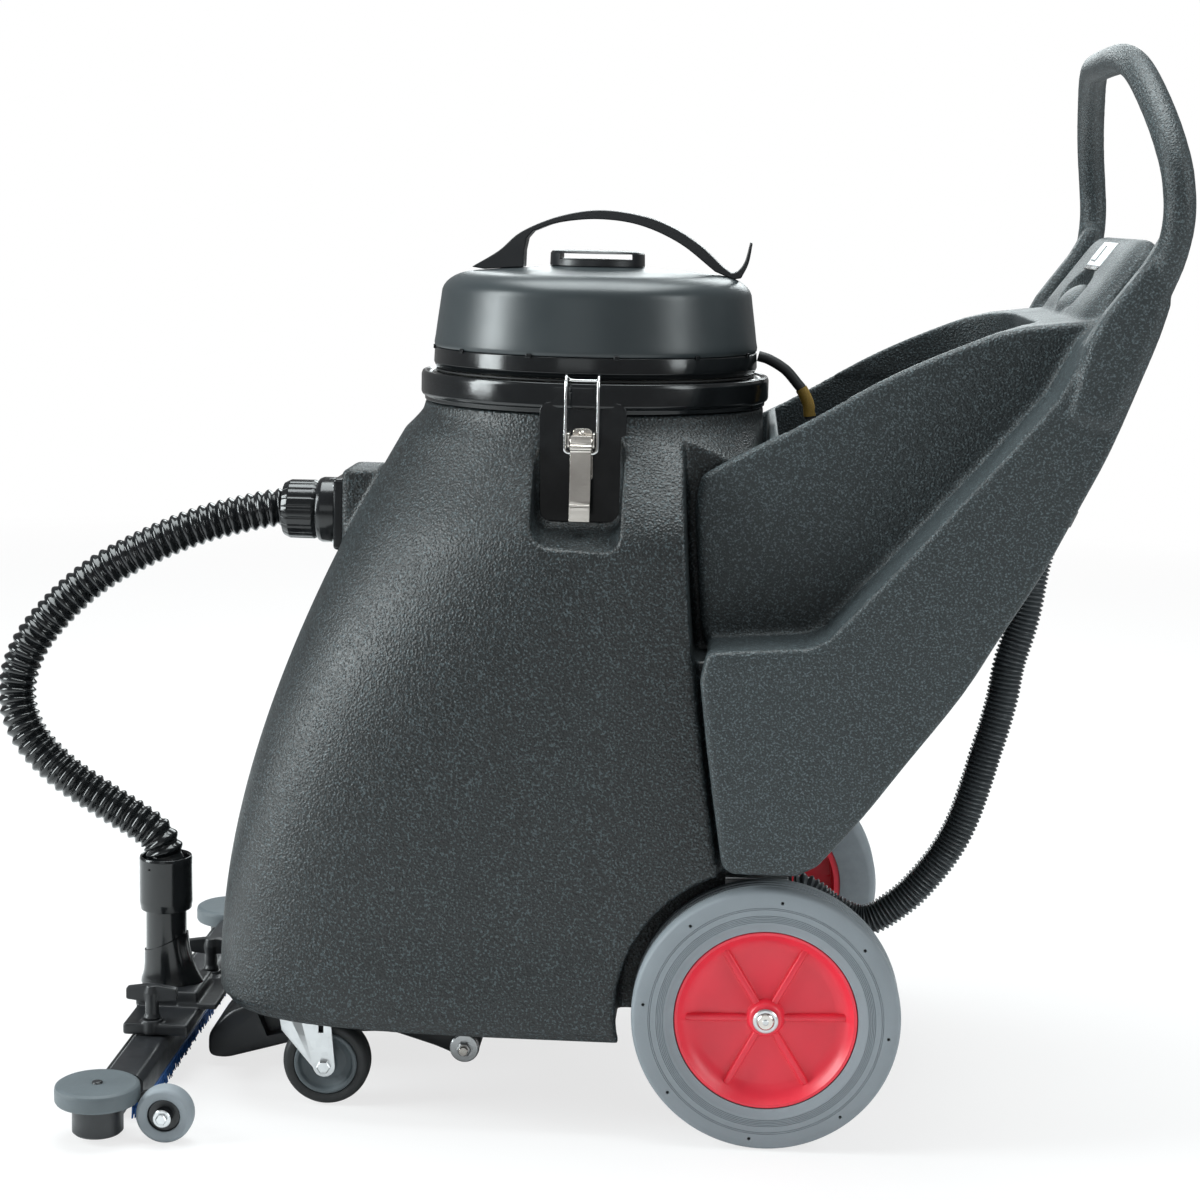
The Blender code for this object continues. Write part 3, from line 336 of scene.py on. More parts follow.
def plate(name, outline, width, surface=None, location=(0, 0, 0), rotation=(math.pi / 2, 0, 0), edge=0.0):
    """A flat outline given a width; upright by default, with the outline in XZ and the width along Y."""
    shape = bmesh.new()
    rows = [[shape.verts.new((x, y, z)) for x, y in outline] for z in (-width / 2, width / 2)]
    shape.faces.new(rows[0])
    shape.faces.new(rows[1])
    for i in range(len(outline)):
        j = (i + 1) % len(outline)
        shape.faces.new((rows[0][i], rows[0][j], rows[1][j], rows[1][i]))
    bmesh.ops.recalc_face_normals(shape, faces=shape.faces)
    obj = place(name, shape, surface, location, rotation)
    return rounded(obj, edge) if edge else obj


def swept(name, path, radius_at, surface=None, sides=24, location=(0, 0, 0)):
    """A capped round tube along a path; radius_at(distance) shapes its skin."""
    path = [Vector(point) for point in path]
    normal = (path[1] - path[0]).orthogonal().normalized()
    rings = []
    distance = 0.0
    for i, point in enumerate(path):
        ahead = path[min(i + 1, len(path) - 1)]
        behind = path[max(i - 1, 0)]
        tangent = (ahead - behind).normalized()
        normal = (normal - tangent * normal.dot(tangent)).normalized()
        across = tangent.cross(normal)
        radius = radius_at(distance)
        turns = [2 * math.pi * k / sides for k in range(sides)]
        rings.append([point + (normal * math.cos(a) + across * math.sin(a)) * radius for a in turns])
        distance += (ahead - point).length
    return creased(loft(name, rings, surface, location), 60)


def tube(name, keys, radius, surface=None, step=0.004, sides=20, location=(0, 0, 0)):
    return swept(name, smooth_path(keys, step), lambda distance: radius, surface, sides, location)


def rod(name, radius, length, surface=None, location=(0, 0, 0), axis="Z", sides=48, edge=0.0):
    """A straight pin centred on its location."""
    half = length / 2
    profile = [(0.0, half), (radius, half), (radius, -half), (0.0, -half)]
    if edge:
        profile = [(0.0, half), (radius - edge, half), (radius, half - edge), (radius, edge - half),
                   (radius - edge, -half), (0.0, -half)]
    turn = {"X": (0, math.pi / 2, 0), "Y": (-math.pi / 2, 0, 0), "Z": (0, 0, 0)}[axis]
    return turned(name, profile, surface, location, turn, sides)


def ball(name, radii, surface=None, location=(0, 0, 0), rotation=(0, 0, 0), sides=48):
    shape = bmesh.new()
    bmesh.ops.create_uvsphere(shape, u_segments=sides, v_segments=sides // 2, radius=1.0)
    bmesh.ops.scale(shape, vec=radii, verts=shape.verts)
    return place(name, shape, surface, location, rotation)


def bolt(name, radius, height, location, rotation, surface, sides=6):
    """A chamfered hexagon head that stands up from its location along local Z."""
    head = [(0.0, height), (radius * 0.82, height), (radius, height * 0.72), (radius, 0.0), (0.0, 0.0)]
    return turned(name, head, surface, location, rotation, sides, angle=20)


def body_of(node):
    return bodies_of(frame["nodes"][node])[0]


def goes_with(obj, node):
    """The piece moves with the body that holds a CAD node."""
    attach(obj, body_of(node))
    return obj


def stands_for(obj, *nodes):
    """The piece moves with the first node's body and is shown instead of the nodes."""
    goes_with(obj, nodes[0])
    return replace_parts(obj, *nodes)


# Materials

class Nodes:
    """One material's node tree, with object coordinates in metres."""

    def __init__(self, name):
        self.material = bpy.data.materials.new(name + "_finish")
        self.material.use_nodes = True
        self.tree = self.material.node_tree
        self.shader = self.tree.nodes["Principled BSDF"]
        self.place = self.tree.nodes.new("ShaderNodeTexCoord").outputs["Object"]

    def add(self, kind, settings=None, **inputs):
        node = self.tree.nodes.new(kind)
        for key, value in (settings or {}).items():
            setattr(node, key, value)
        for key, value in inputs.items():
            self.feed(node.inputs[key.replace("_", " ")], value)
        return node

    def feed(self, socket, value):
        if isinstance(value, bpy.types.NodeSocket):
            self.tree.links.new(value, socket)
        else:
            socket.default_value = value

    def noise(self, scale, detail=3.0, roughness=0.55):
        return self.add("ShaderNodeTexNoise", Vector=self.place, Scale=scale, Detail=detail,
                        Roughness=roughness).outputs["Fac"]

    def cells(self, scale):
        node = self.add("ShaderNodeTexVoronoi", {"feature": "SMOOTH_F1"}, Vector=self.place, Scale=scale)
        return node.outputs["Distance"]

    def spread(self, value, low, high, to_low=0.0, to_high=1.0):
        """Maps low..high to to_low..to_high, clamped."""
        node = self.add("ShaderNodeMapRange", Value=value)
        for socket, number in zip(list(node.inputs)[1:5], (low, high, to_low, to_high)):
            socket.default_value = number
        return node.outputs["Result"]

    def blend(self, share, first, second):
        node = self.add("ShaderNodeMix", {"data_type": "RGBA"})
        self.feed(node.inputs[0], share)
        self.feed(node.inputs[6], first)
        self.feed(node.inputs[7], second)
        return node.outputs[2]

    def bump(self, height, depth, strength=1.0, normal=None):
        node = self.add("ShaderNodeBump", Height=height, Distance=depth, Strength=strength)
        if normal:
            self.feed(node.inputs["Normal"], normal)
        return node.outputs["Normal"]

    def edges(self, low=0.52, high=0.60):
        """One on convex edges, nought on flats and in hollows."""
        return self.spread(self.add("ShaderNodeNewGeometry").outputs["Pointiness"], low, high)


def shade(colour, factor):
    return (*(min(part * factor, 1.0) for part in colour), 1.0)


def finish(name, colour, roughness, metallic=0.0, mottle=0.15, mottle_scale=14.0, spread=0.08, grain=600.0,
           depth=0.00004, wear_and_sheen=0.0, speck=0.0, coat=0.0, ior=1.5):
    """A moulded, rubber or metal surface: slow colour drift, uneven roughness, grain, and convex edges lightened partly
    as wear and partly as a painted edge highlight.
    """
    made = Nodes(name)
    drift = made.spread(made.noise(mottle_scale, 4.0), 0.3, 0.7)
    base = made.blend(drift, shade(colour, 1 - mottle), shade(colour, 1 + mottle))
    if speck:
        specks_and_glints = made.spread(made.noise(grain * 1.7, 2.0), 0.66, 0.74, 0.0, speck)
        base = made.blend(specks_and_glints, base, shade(colour, 4.0))
    # Convex edges lightened under a scuff noise: partly wear, partly a painted highlight standing in for gloss on the
    # rims.
    if wear_and_sheen:
        scuff_and_sheen_noise = made.noise(90.0, 5.0, 0.7)
        rubbed_and_highlit_edges = made.add("ShaderNodeMath", {"operation": "MULTIPLY"})
        made.feed(rubbed_and_highlit_edges.inputs[0], made.edges())
        made.feed(rubbed_and_highlit_edges.inputs[1], made.spread(scuff_and_sheen_noise, 0.35, 0.7, 0.0, wear_and_sheen))
        base = made.blend(rubbed_and_highlit_edges.outputs[0], base, shade(colour, 2.6))
    made.feed(made.shader.inputs["Base Color"], base)
    smudge = made.spread(made.noise(mottle_scale * 2.3, 5.0, 0.65), 0.3, 0.7, roughness - spread,
                         roughness + spread)
    made.feed(made.shader.inputs["Roughness"], smudge)
    made.shader.inputs["Metallic"].default_value = metallic
    made.shader.inputs["IOR"].default_value = ior
    made.shader.inputs["Coat Weight"].default_value = coat
    made.shader.inputs["Coat Roughness"].default_value = 0.12
    fine = made.bump(made.noise(grain, 3.0), depth)
    made.feed(made.shader.inputs["Normal"], fine)
    return made


def pebbled(name, colour, roughness, pebble, glint_brightness):
    """Rotomoulded polyethylene: a pebble grain over a finer one, with pale flecks painted in as glints of the grain."""
    made = finish(name, colour, roughness, mottle=0.10, mottle_scale=7.0, spread=0.06, grain=1500.0,
                  depth=0.00006, wear_and_sheen=0.30)
    crowns = made.spread(made.cells(pebble), 0.05, 0.55, 1.0, 0.0)
    uneven = made.add("ShaderNodeMath", {"operation": "MULTIPLY"})
    made.feed(uneven.inputs[0], crowns)
    made.feed(uneven.inputs[1], made.noise(pebble * 0.8, 3.0))
    fine = made.shader.inputs["Normal"].links[0].from_socket
    made.feed(made.shader.inputs["Normal"], made.bump(uneven.outputs[0], 0.0009, 1.0, fine))
    base = made.shader.inputs["Base Color"].links[0].from_socket
    # Painted glints: pale flecks, many times brighter than the plastic, stand in for light sparkling off the pebble
    # grain.
    specks_and_glints = made.spread(made.noise(pebble, 3.0, 0.6), 0.52, 0.64)
    made.feed(made.shader.inputs["Base Color"], made.blend(specks_and_glints, base, shade(colour, glint_brightness)))
    return made


def brushed(name, colour, roughness, stretch):
    """Metal with fine scratches that run across one axis."""
    made = finish(name, colour, roughness, metallic=1.0, mottle=0.06, spread=0.05, depth=0.00001)
    squeeze = made.add("ShaderNodeMapping", Vector=made.place)
    squeeze.inputs["Scale"].default_value = stretch
    scratches = made.add("ShaderNodeTexNoise", Vector=squeeze.outputs[0], Scale=500.0, Detail=3.0)
    made.feed(made.shader.inputs["Normal"], made.bump(scratches.outputs["Fac"], 0.00003))
    return made


def galvanised(name, colour, roughness):
    """Zinc plate with its faint crystal patches."""
    made = finish(name, colour, roughness, metallic=1.0, mottle=0.05, spread=0.06, depth=0.00002)
    patches = made.add("ShaderNodeTexVoronoi", Vector=made.place, Scale=160.0)
    base = made.blend(made.spread(patches.outputs["Color"], 0.0, 1.0, 0.0, 0.5), shade(colour, 0.88),
                      shade(colour, 1.08))
    made.feed(made.shader.inputs["Base Color"], base)
    return made


def woven(name, first, second, roughness, scale):
    """Crossing threads from two wave textures."""
    made = finish(name, first, roughness, grain=scale * 3)
    bands = []
    for direction in ("X", "Z"):
        wave = made.add("ShaderNodeTexWave", {"bands_direction": direction}, Vector=made.place, Scale=scale,
                        Distortion=0.6)
        bands.append(wave.outputs["Fac"])
    threads = made.add("ShaderNodeMath", {"operation": "MULTIPLY"})
    made.feed(threads.inputs[0], bands[0])
    made.feed(threads.inputs[1], bands[1])
    made.feed(made.shader.inputs["Base Color"], made.blend(threads.outputs[0], shade(second, 1), shade(first, 1)))
    made.feed(made.shader.inputs["Normal"], made.bump(threads.outputs[0], 0.0004))
    return made


def make_materials():
    finishes = {
        "tank_plastic": pebbled("tank_plastic", (0.0050, 0.0068, 0.0075), 0.46, 440.0, 10.0),
        "caddy_plastic": pebbled("caddy_plastic", (0.0190, 0.0248, 0.0270), 0.50, 520.0, 4.5),
        "gloss_black": finish("gloss_black", (0.007, 0.008, 0.009), 0.16, spread=0.07, grain=220.0, wear_and_sheen=0.12),
        "satin_black": finish("satin_black", (0.013, 0.014, 0.016), 0.38, spread=0.10, grain=1300.0,
                              depth=0.00008, wear_and_sheen=0.35, speck=0.25),
        "lid_grey": finish("lid_grey", (0.0300, 0.0375, 0.0410), 0.34, mottle=0.05, spread=0.04, grain=1100.0,
                           depth=0.00003, speck=0.10),
        "tyre_grey": finish("tyre_grey", (0.225, 0.252, 0.275), 0.56, mottle=0.06, spread=0.08, grain=900.0,
                            depth=0.00008, wear_and_sheen=0.15, speck=0.05),
        "bumper_grey": finish("bumper_grey", (0.085, 0.102, 0.112), 0.55, mottle=0.08, grain=1000.0,
                              depth=0.0001, wear_and_sheen=0.2, speck=0.08),
        "hub_red": finish("hub_red", (0.740, 0.026, 0.050), 0.36, mottle=0.07, spread=0.06, grain=1200.0,
                          depth=0.00005, wear_and_sheen=0.10),
        "black_rubber": finish("black_rubber", (0.014, 0.015, 0.016), 0.58, spread=0.10, grain=800.0,
                               depth=0.0001, wear_and_sheen=0.3, speck=0.15),
        "nickel_steel": brushed("nickel_steel", (0.600, 0.560, 0.520), 0.24, (1.0, 1.0, 0.06)),
        "chrome_wire": finish("chrome_wire", (0.780, 0.780, 0.780), 0.14, 1.0, spread=0.05, depth=0.00001),
        "zinc_steel": galvanised("zinc_steel", (0.640, 0.650, 0.660), 0.34),
        "cast_aluminium": finish("cast_aluminium", (0.500, 0.510, 0.520), 0.42, 1.0, grain=500.0,
                                 depth=0.0002),
        "pale_plastic": finish("pale_plastic", (0.720, 0.740, 0.750), 0.38, mottle=0.03, wear_and_sheen=0.0),
        "filter_cloth": woven("filter_cloth", (0.420, 0.410, 0.380), (0.200, 0.190, 0.170), 0.9, 260.0),
        "blue_bristle": finish("blue_bristle", (0.006, 0.085, 0.310), 0.45, mottle=0.35, mottle_scale=420.0),
    }
    return {slot: made.material for slot, made in finishes.items()}


# Tank

def nose_x(z):
    """Foremost X of the tank at a height: a swept-back nose that meets the neck."""
    swept_back = NOSE_X + NOSE_SWEEP * max(z - NOSE_Z, 0.0) ** NOSE_POWER
    return mix(NECK_X - NECK_R, swept_back, ease((NECK_Z - z) / 0.03))


def tank_ring(z, inset=0.0, sides=160):
    """The tank's plan outline at a height: a circle at the neck, a blunt-nosed box below the shoulder."""
    body = ease((NECK_Z - z) / (NECK_Z - SHOULDER_Z))
    blunt = mix(2.0, 4.8, ease((NECK_Z - z) / 0.5))
    boxy = mix(2.0, 8.0, body)
    half_width = mix(NECK_R, TANK_HALF_WIDTH, body) - inset
    widest = mix(NECK_X, TANK_WIDEST_X, body)
    ahead = widest - nose_x(z) - inset
    behind = mix(NECK_X + NECK_R, TANK_REAR_X, body) - widest - inset
    ring = []
    for i in range(sides):
        angle = 2 * math.pi * i / sides
        length, exponent = (behind, boxy) if math.cos(angle) > 0 else (ahead, blunt)
        x = widest + length * power(math.cos(angle), 2 / exponent)
        y = half_width * power(math.sin(angle), 2 / exponent)
        ring.append((x, y * flank_share(x, z), z))
    return ring


def flank_share(x, z):
    """The slight step in at the soft crease that runs up each side of the tank."""
    crease_x = -0.170 + 0.180 * max(z - 0.25, 0.0) ** 1.15
    ahead = max(crease_x - x, 0.0)
    return 1 - 0.016 * (1 - math.exp(-ahead / 0.03)) * ease((z - 0.12) / 0.08) * ease((0.66 - z) / 0.08)


def wing_edge(z):
    """X of the line where the caddy's wings end on the tank's sides."""
    share = (z - WING_FOOT_Z) / (WING_TOP_Z - WING_FOOT_Z)
    return -0.045 - 0.040 * share - 0.006 * math.sin(math.pi * share)


def arch_cutter(side):
    width = 0.30 - ARCH_INNER_Y
    return rod("arch_cutter", ARCH_R, width, location=(0, side * (ARCH_INNER_Y + width / 2), WHEEL_R), axis="Y",
               sides=128)


def lap_cutter(side, inner, outer, foot, top, gap):
    """A block between two distances from the centre plane, behind the wings' front edge and above a foot."""
    heights = [mix(foot, top, i / 10) for i in range(11)]
    back = 0.05 + gap
    outline = [(wing_edge(z) - gap, z) for z in heights] + [(back, top), (back, foot)]
    width = outer - inner
    return plate("lap_cutter", outline, width, location=(0, side * (inner + width / 2), 0))


def wing_cutter(side):
    """The space the caddy's lower wings take out of the tank's rear corners."""
    return lap_cutter(side, BAND_INNER_Y - WING_GAP, 0.31, 0.20, 0.55, WING_GAP)


def shoulder_cutter(side):
    """The deeper space above the ledge, where the caddy is narrower."""
    return lap_cutter(side, PANEL_INNER_Y - WING_GAP, 0.30, LEDGE_Z - LEDGE_WALL - WING_GAP, 0.70, SHOULDER_GAP)


def latch_cutter(side):
    """A flat-backed pocket in the neck, open at the top, with a sloping foot and rounded corners."""
    inner = 0.1665
    foot = 0.580
    outline = [(inner, foot), (inner + 0.10, foot - 0.024), (inner + 0.10, 0.72), (inner, 0.72)]
    cutter = plate("latch_cutter", [(side * y, z) for y, z in outline], 0.085, location=(NECK_X - 0.002, 0, 0),
                   rotation=(math.pi / 2, 0, math.pi / 2))
    return rounded(cutter, 0.016, 5)


def tank_hollow():
    """The water space seen through the mouth."""
    rings = []
    for z, half_width, front, rear in ((0.15, 0.13, -0.40, -0.07), (0.45, 0.13, -0.36, -0.07)):
        corners = [(front, -half_width), (rear, -half_width), (rear, half_width), (front, half_width)]
        rings.append([(x, y, z) for x, y in filleted(corners, 0.08, 11)])
    hollow = loft("tank_hollow", rings)
    mouth = rod("tank_mouth", 0.152, NECK_Z + 0.02 - 0.44, location=(NECK_X, 0, (NECK_Z + 0.46) / 2), sides=96)
    return joined(hollow, mouth)


def make_tank():
    lip = 0.005
    levels = [(TANK_BOTTOM, 2 * lip), (TANK_BOTTOM + lip, lip), (TANK_LIP_Z - 0.001, lip), (TANK_LIP_Z, 0.0)]
    rise = (NECK_Z - TANK_LIP_Z) / 60
    levels += [(TANK_LIP_Z + rise * (i + 1), 0.0) for i in range(60)]
    tank = loft("tank_moulding", [tank_ring(z, inset) for z, inset in levels], SURFACE["tank_plastic"])
    saddle = box("inlet_saddle", (0.060, 0.088, 0.085), location=(INLET_X + 0.0270, 0, INLET_Z + 0.004), edge=0.006)
    joined(tank, saddle)
    pocket = loft("underside_pocket", [tank_ring(z, 0.014) for z in (0.05, FLOOR_Z)])
    slot = box("arm_slot", (0.12, 0.104, 0.05), location=(NOSE_X + 0.02, HEAD_Y + 0.005, FLOOR_Z - 0.026))
    cutters = [pocket, slot]
    for label, side in SIDES:
        cutters += [arch_cutter(side), wing_cutter(side), shoulder_cutter(side), latch_cutter(side)]
    cut(tank, *cutters)
    softened(tank, VOXEL, 5)
    seat = 0.040
    cut(tank, tank_hollow(), box("inlet_seat", (seat, 0.080, 0.077), location=(INLET_X + 0.0003 - seat / 2, 0, INLET_Z)))
    stands_for(creased(tank, 60), "main_tank")


def make_underside():
    """The bosses that show below the skirt."""
    for label, side in SIDES:
        boss = turned(f"skirt_boss_{label}", [(0.0, 0.0), (0.012, 0.0), (0.009, -0.012), (0.0, -0.012)],
                      SURFACE["satin_black"], (-0.375, side * 0.150, FLOOR_Z + 0.001), sides=32, edge=0.002)
        goes_with(boss, "main_tank")


# Caddy

def back_line():
    return [(0.043, 0.278), (0.083, 0.326), (0.118, 0.374), (0.169, 0.444), (0.2005, 0.498), (0.236, 0.558),
            (0.266, 0.619), (0.291, 0.672), (0.3155, 0.737), (0.329, 0.775), (0.338, 0.808)]


def top_line():
    return [(0.280, 0.784), (0.241, 0.780), (0.195, 0.771), (0.1055, 0.733), (0.0146, 0.681), (-0.045, 0.649),
            (-0.077, 0.630)]


def crease():
    """The ledge's outer edge, from the root of the arms down and forward to the wings."""
    return [(0.300, 0.798), (0.266, 0.765), (0.241, 0.7165), (0.199, 0.6655), (0.113, 0.5675), (0.044, 0.4915),
            (0.028, 0.484), (-0.065, LEDGE_Z)]


def flat(keys, step=0.02):
    return [(point.x, point.y) for point in smooth_path(keys, step)]


def caddy_shell():
    """The narrow box, which stands inside the wide band below the crease."""
    inset = 0.008
    back = [(x - inset, z + inset / 2) for x, z in flat(back_line())]
    front = [(wing_edge(z) + 0.0015, z) for z in (0.600, 0.57, 0.54, 0.51, 0.49)]
    foot = [(wing_edge(0.43) + inset, 0.43), (wing_edge(0.30) + inset, 0.285)]
    outline = back + flat(top_line()) + front + foot
    return plate("caddy_moulding", outline, 2 * PANEL_HALF_WIDTH, SURFACE["caddy_plastic"], edge=0.009)


def raised_band():
    """The wide band below the crease: the lower sides, the back and the shoulders of the handle."""
    front = [(wing_edge(z), z) for z in (0.45, 0.39, 0.33, 0.275)]
    outline = flat(back_line()) + crease() + front + [(-0.038, 0.268), (0.024, 0.268)]
    return plate("raised_band", outline, 2 * BAND_HALF_WIDTH, edge=0.008)


def handle_loop():
    arm = [(0.322, ARM_Y, 0.810), (0.333, 0.261, 0.845), (0.337, 0.270, 0.880), (0.334, 0.268, 0.915),
           (0.329, 0.252, 0.942), (0.323, 0.222, 0.970), (0.316, 0.176, 1.000), (0.311, 0.138, 1.0170),
           (0.307, 0.095, 1.0255), (0.305, 0.045, 1.0268)]
    other = [(x, -y, z) for x, y, z in reversed(arm)]
    return tube("handle_loop", arm + other, ARM_R, step=0.008, sides=32)


def arm_root(side):
    outline = [(0.250, 0.700), (0.290, 0.690), (0.3115, 0.740), (0.326, 0.780), (0.342, 0.840), (0.346, 0.868),
               (0.330, 0.872), (0.311, 0.838), (0.278, 0.793), (0.264, 0.765)]
    return plate("arm_root", outline, 0.030, location=(0, side * (ARM_Y + 0.003), 0), edge=0.008)


def console():
    """The bulge between the arms, round at both ends."""
    centre_x, centre_z = 0.318, 0.800
    corners = [(0.335, 0.760), (0.348, 0.800), (0.351, 0.828), (0.349, 0.848), (0.336, 0.860), FACE_TOP, FACE_FOOT,
               (0.264, 0.770)]
    outline = filleted(corners, 0.012, 5)
    half_width, dome = 0.161, 0.050
    rings = []
    for i in range(-24, 25):
        share = math.sin(math.pi / 2 * i / 24)
        y = half_width * share
        end = max(abs(y) - (half_width - dome), 0.0) / dome
        scale = 0.45 + 0.55 * math.sqrt(max(1 - end**2.4, 0.0))
        rings.append([(mix(centre_x, x, scale), y, mix(centre_z, z, scale)) for x, z in outline])
    return loft("console_block", rings)


def on_console_face(above, up_slope=0.0):
    """X and Z of the switch's middle, a distance above the sloping face and up along it."""
    x = mix(FACE_FOOT[0], FACE_TOP[0], SWITCH_SHARE)
    z = mix(FACE_FOOT[1], FACE_TOP[1], SWITCH_SHARE)
    x += math.cos(FACE_SLOPE) * up_slope - math.sin(FACE_SLOPE) * above
    z += math.sin(FACE_SLOPE) * up_slope + math.cos(FACE_SLOPE) * above
    return x, z


def bin_space():
    inner_back = [(0.046, BIN_FLOOR_Z), (0.190, 0.504), (0.256, 0.623), (0.288, 0.695), (0.280, 0.712)]
    front = [(-0.003, 0.712), (-0.003, BIN_FLOOR_Z)]
    return plate("bin_space", inner_back + front, 2 * BIN_HALF_WIDTH, edge=0.009)


def bin_mouth():
    """The opening above the hollow, round at its rear corners."""
    front = -0.004
    bend = 0.085
    sides = 16
    arc = [math.pi / 2 * i / sides for i in range(sides + 1)]
    reach = BIN_HALF_WIDTH - 0.001
    corner = [(BIN_REAR_X - bend + bend * math.sin(a), reach - bend + bend * math.cos(a)) for a in arc]
    outline = [(front, reach)] + corner + [(x, -y) for x, y in reversed(corner)] + [(front, -reach)]
    return plate("bin_mouth", outline, 0.30, location=(0, 0, 0.70), rotation=(0, 0, 0))


def side_pockets():
    """The hollow of the wide band, under its ledges and open to the bin."""
    back = [(0.058, POCKET_FLOOR_Z), (0.187, 0.502), (0.252, 0.619), (0.282, 0.684)]
    under_crease = [(0.240, 0.700), (0.206, 0.6595), (0.120, 0.5615), (0.048, 0.4835), (0.030, 0.475),
                    (-0.0015, LEDGE_Z - LEDGE_WALL), (-0.0015, POCKET_FLOOR_Z)]
    return plate("side_pockets", back + under_crease, 2 * POCKET_HALF_WIDTH)


def tank_space(half_width, foot, top):
    reach = 0.20
    return box("tank_space", (reach, 2 * half_width, top - foot),
               location=(TANK_REAR_X + 0.003 - reach / 2, 0, (top + foot) / 2))


def finger_arch():
    """A shallow arched hollow low on the console's face, with a rounded lump left inside it."""
    turn = (0, -FACE_SLOPE, 0)
    x, z = on_console_face(0.004, -0.044)
    hollow = ball("finger_hollow", (0.027, 0.062, 0.024), location=(x, 0, z), rotation=turn)
    x, z = on_console_face(-0.012, -0.056)
    lump = ball("finger_lump", (0.025, 0.048, 0.016), location=(x, 0, z), rotation=turn)
    return hollow, lump


def make_caddy():
    caddy = caddy_shell()
    joined(caddy, raised_band(), console(), arm_root(-1), arm_root(1), handle_loop())
    hollow, lump = finger_arch()
    lower_space = tank_space(BAND_INNER_Y, 0.21, LEDGE_Z - LEDGE_WALL)
    cut(caddy, bin_space(), bin_mouth(), side_pockets(), tank_space(PANEL_INNER_Y, 0.20, 0.80), lower_space, hollow)
    joined(caddy, lump)
    softened(caddy, VOXEL, 4)
    x, z = on_console_face(0)
    pocket = box("switch_pocket", (0.030, SWITCH_LENGTH + 0.002, 0.008), location=(x, 0, z),
                 rotation=(0, -FACE_SLOPE, 0))
    cut(caddy, pocket)
    stands_for(creased(caddy, 60), "rear_caddy")


def make_switch():
    turn = (0, -FACE_SLOPE, 0)
    x, z = on_console_face(-0.0008)
    bezel = box("console_plate", (0.0285, SWITCH_LENGTH, 0.003), SURFACE["pale_plastic"], (x, 0, z), turn, edge=0.0008)
    cut(bezel, box("rocker_window", (0.020, 0.032, 0.02), location=(x, ROCKER_Y, z), rotation=turn))
    stands_for(creased(bezel), "switch_bezel")
    # A gloss black strip along the plate's lower edge: painted shadow of the pocket's wall.
    x, z = on_console_face(-0.0008, -0.0170)
    gap_shadow_strip = box("plate_shadow_strip", (0.0044, SWITCH_LENGTH, 0.003), SURFACE["gloss_black"], (x, 0, z), turn, edge=0.0006)
    goes_with(gap_shadow_strip, "switch_bezel")
    x, z = on_console_face(0.0006)
    rocker = box("rocker_key", (0.0170, 0.0285, 0.0032), SURFACE["pale_plastic"], (x, ROCKER_Y, z), turn, edge=0.0006)
    stands_for(rocker, "rocker_switch")


# Running gear

def make_tyre(label, side):
    centre = spot(f"rear_tyre_{label}")
    turn = (-side * math.pi / 2, 0, 0)
    half = WHEEL_HALF
    outer_face = [(HUB_R + 0.0003, half - 0.0035), (0.0935, half - 0.0015), (0.0945, half - 0.0008)]
    for radius in (0.0965, 0.0980, 0.0995, 0.1010, 0.1025, 0.1085, 0.1100):
        outer_face += [(radius, half - 0.0006), (radius + 0.0004, half - 0.0013), (radius + 0.0008, half - 0.0006)]
    outer_face += [(0.1180, half - 0.0006)]
    shoulder = filleted([(0.1180, half - 0.0006), (WHEEL_R, half - 0.0020), (WHEEL_R, 0.0)], 0.010, 8)[9:18]
    tread = []
    for y in (half - 0.0175, half - 0.0255, half - 0.0335):
        tread += [(WHEEL_R, y + 0.0018), (WHEEL_R - 0.0018, y + 0.0008), (WHEEL_R - 0.0018, y - 0.0008),
                  (WHEEL_R, y - 0.0018)]
    inner = [(WHEEL_R, -half + 0.0100), (0.1235, -half + 0.0025), (0.1180, -half), (HUB_R + 0.0003, -half + 0.0035)]
    profile = outer_face + shoulder + tread + inner
    tyre = turned(f"tyre_{label}", profile, SURFACE["tyre_grey"], centre, turn, sides=160, angle=50)
    pits = []
    for i in range(8):
        angle = math.radians(45 * i - 6)
        x = centre.x + 0.116 * math.cos(angle)
        z = centre.z + 0.116 * math.sin(angle)
        pits.append(rod(f"pit_{i}", 0.0016, 0.012, location=(x, centre.y + side * half, z), axis="Y", sides=16))
    cut(tyre, *pits)
    stands_for(creased(tyre, 50), f"rear_tyre_{label}")
    # Black discs at the bottom of the pits: painted shade inside the holes.
    for i in range(8):
        angle = math.radians(45 * i - 6)
        x = centre.x + 0.116 * math.cos(angle)
        z = centre.z + 0.116 * math.sin(angle)
        pit_shade_disc = rod(f"pit_shade_{label}_{i}", 0.0015, 0.001, SURFACE["black_rubber"],
                   (x, centre.y + side * (half - 0.0045), z), "Y", 12)
        goes_with(pit_shade_disc, f"rear_tyre_{label}")


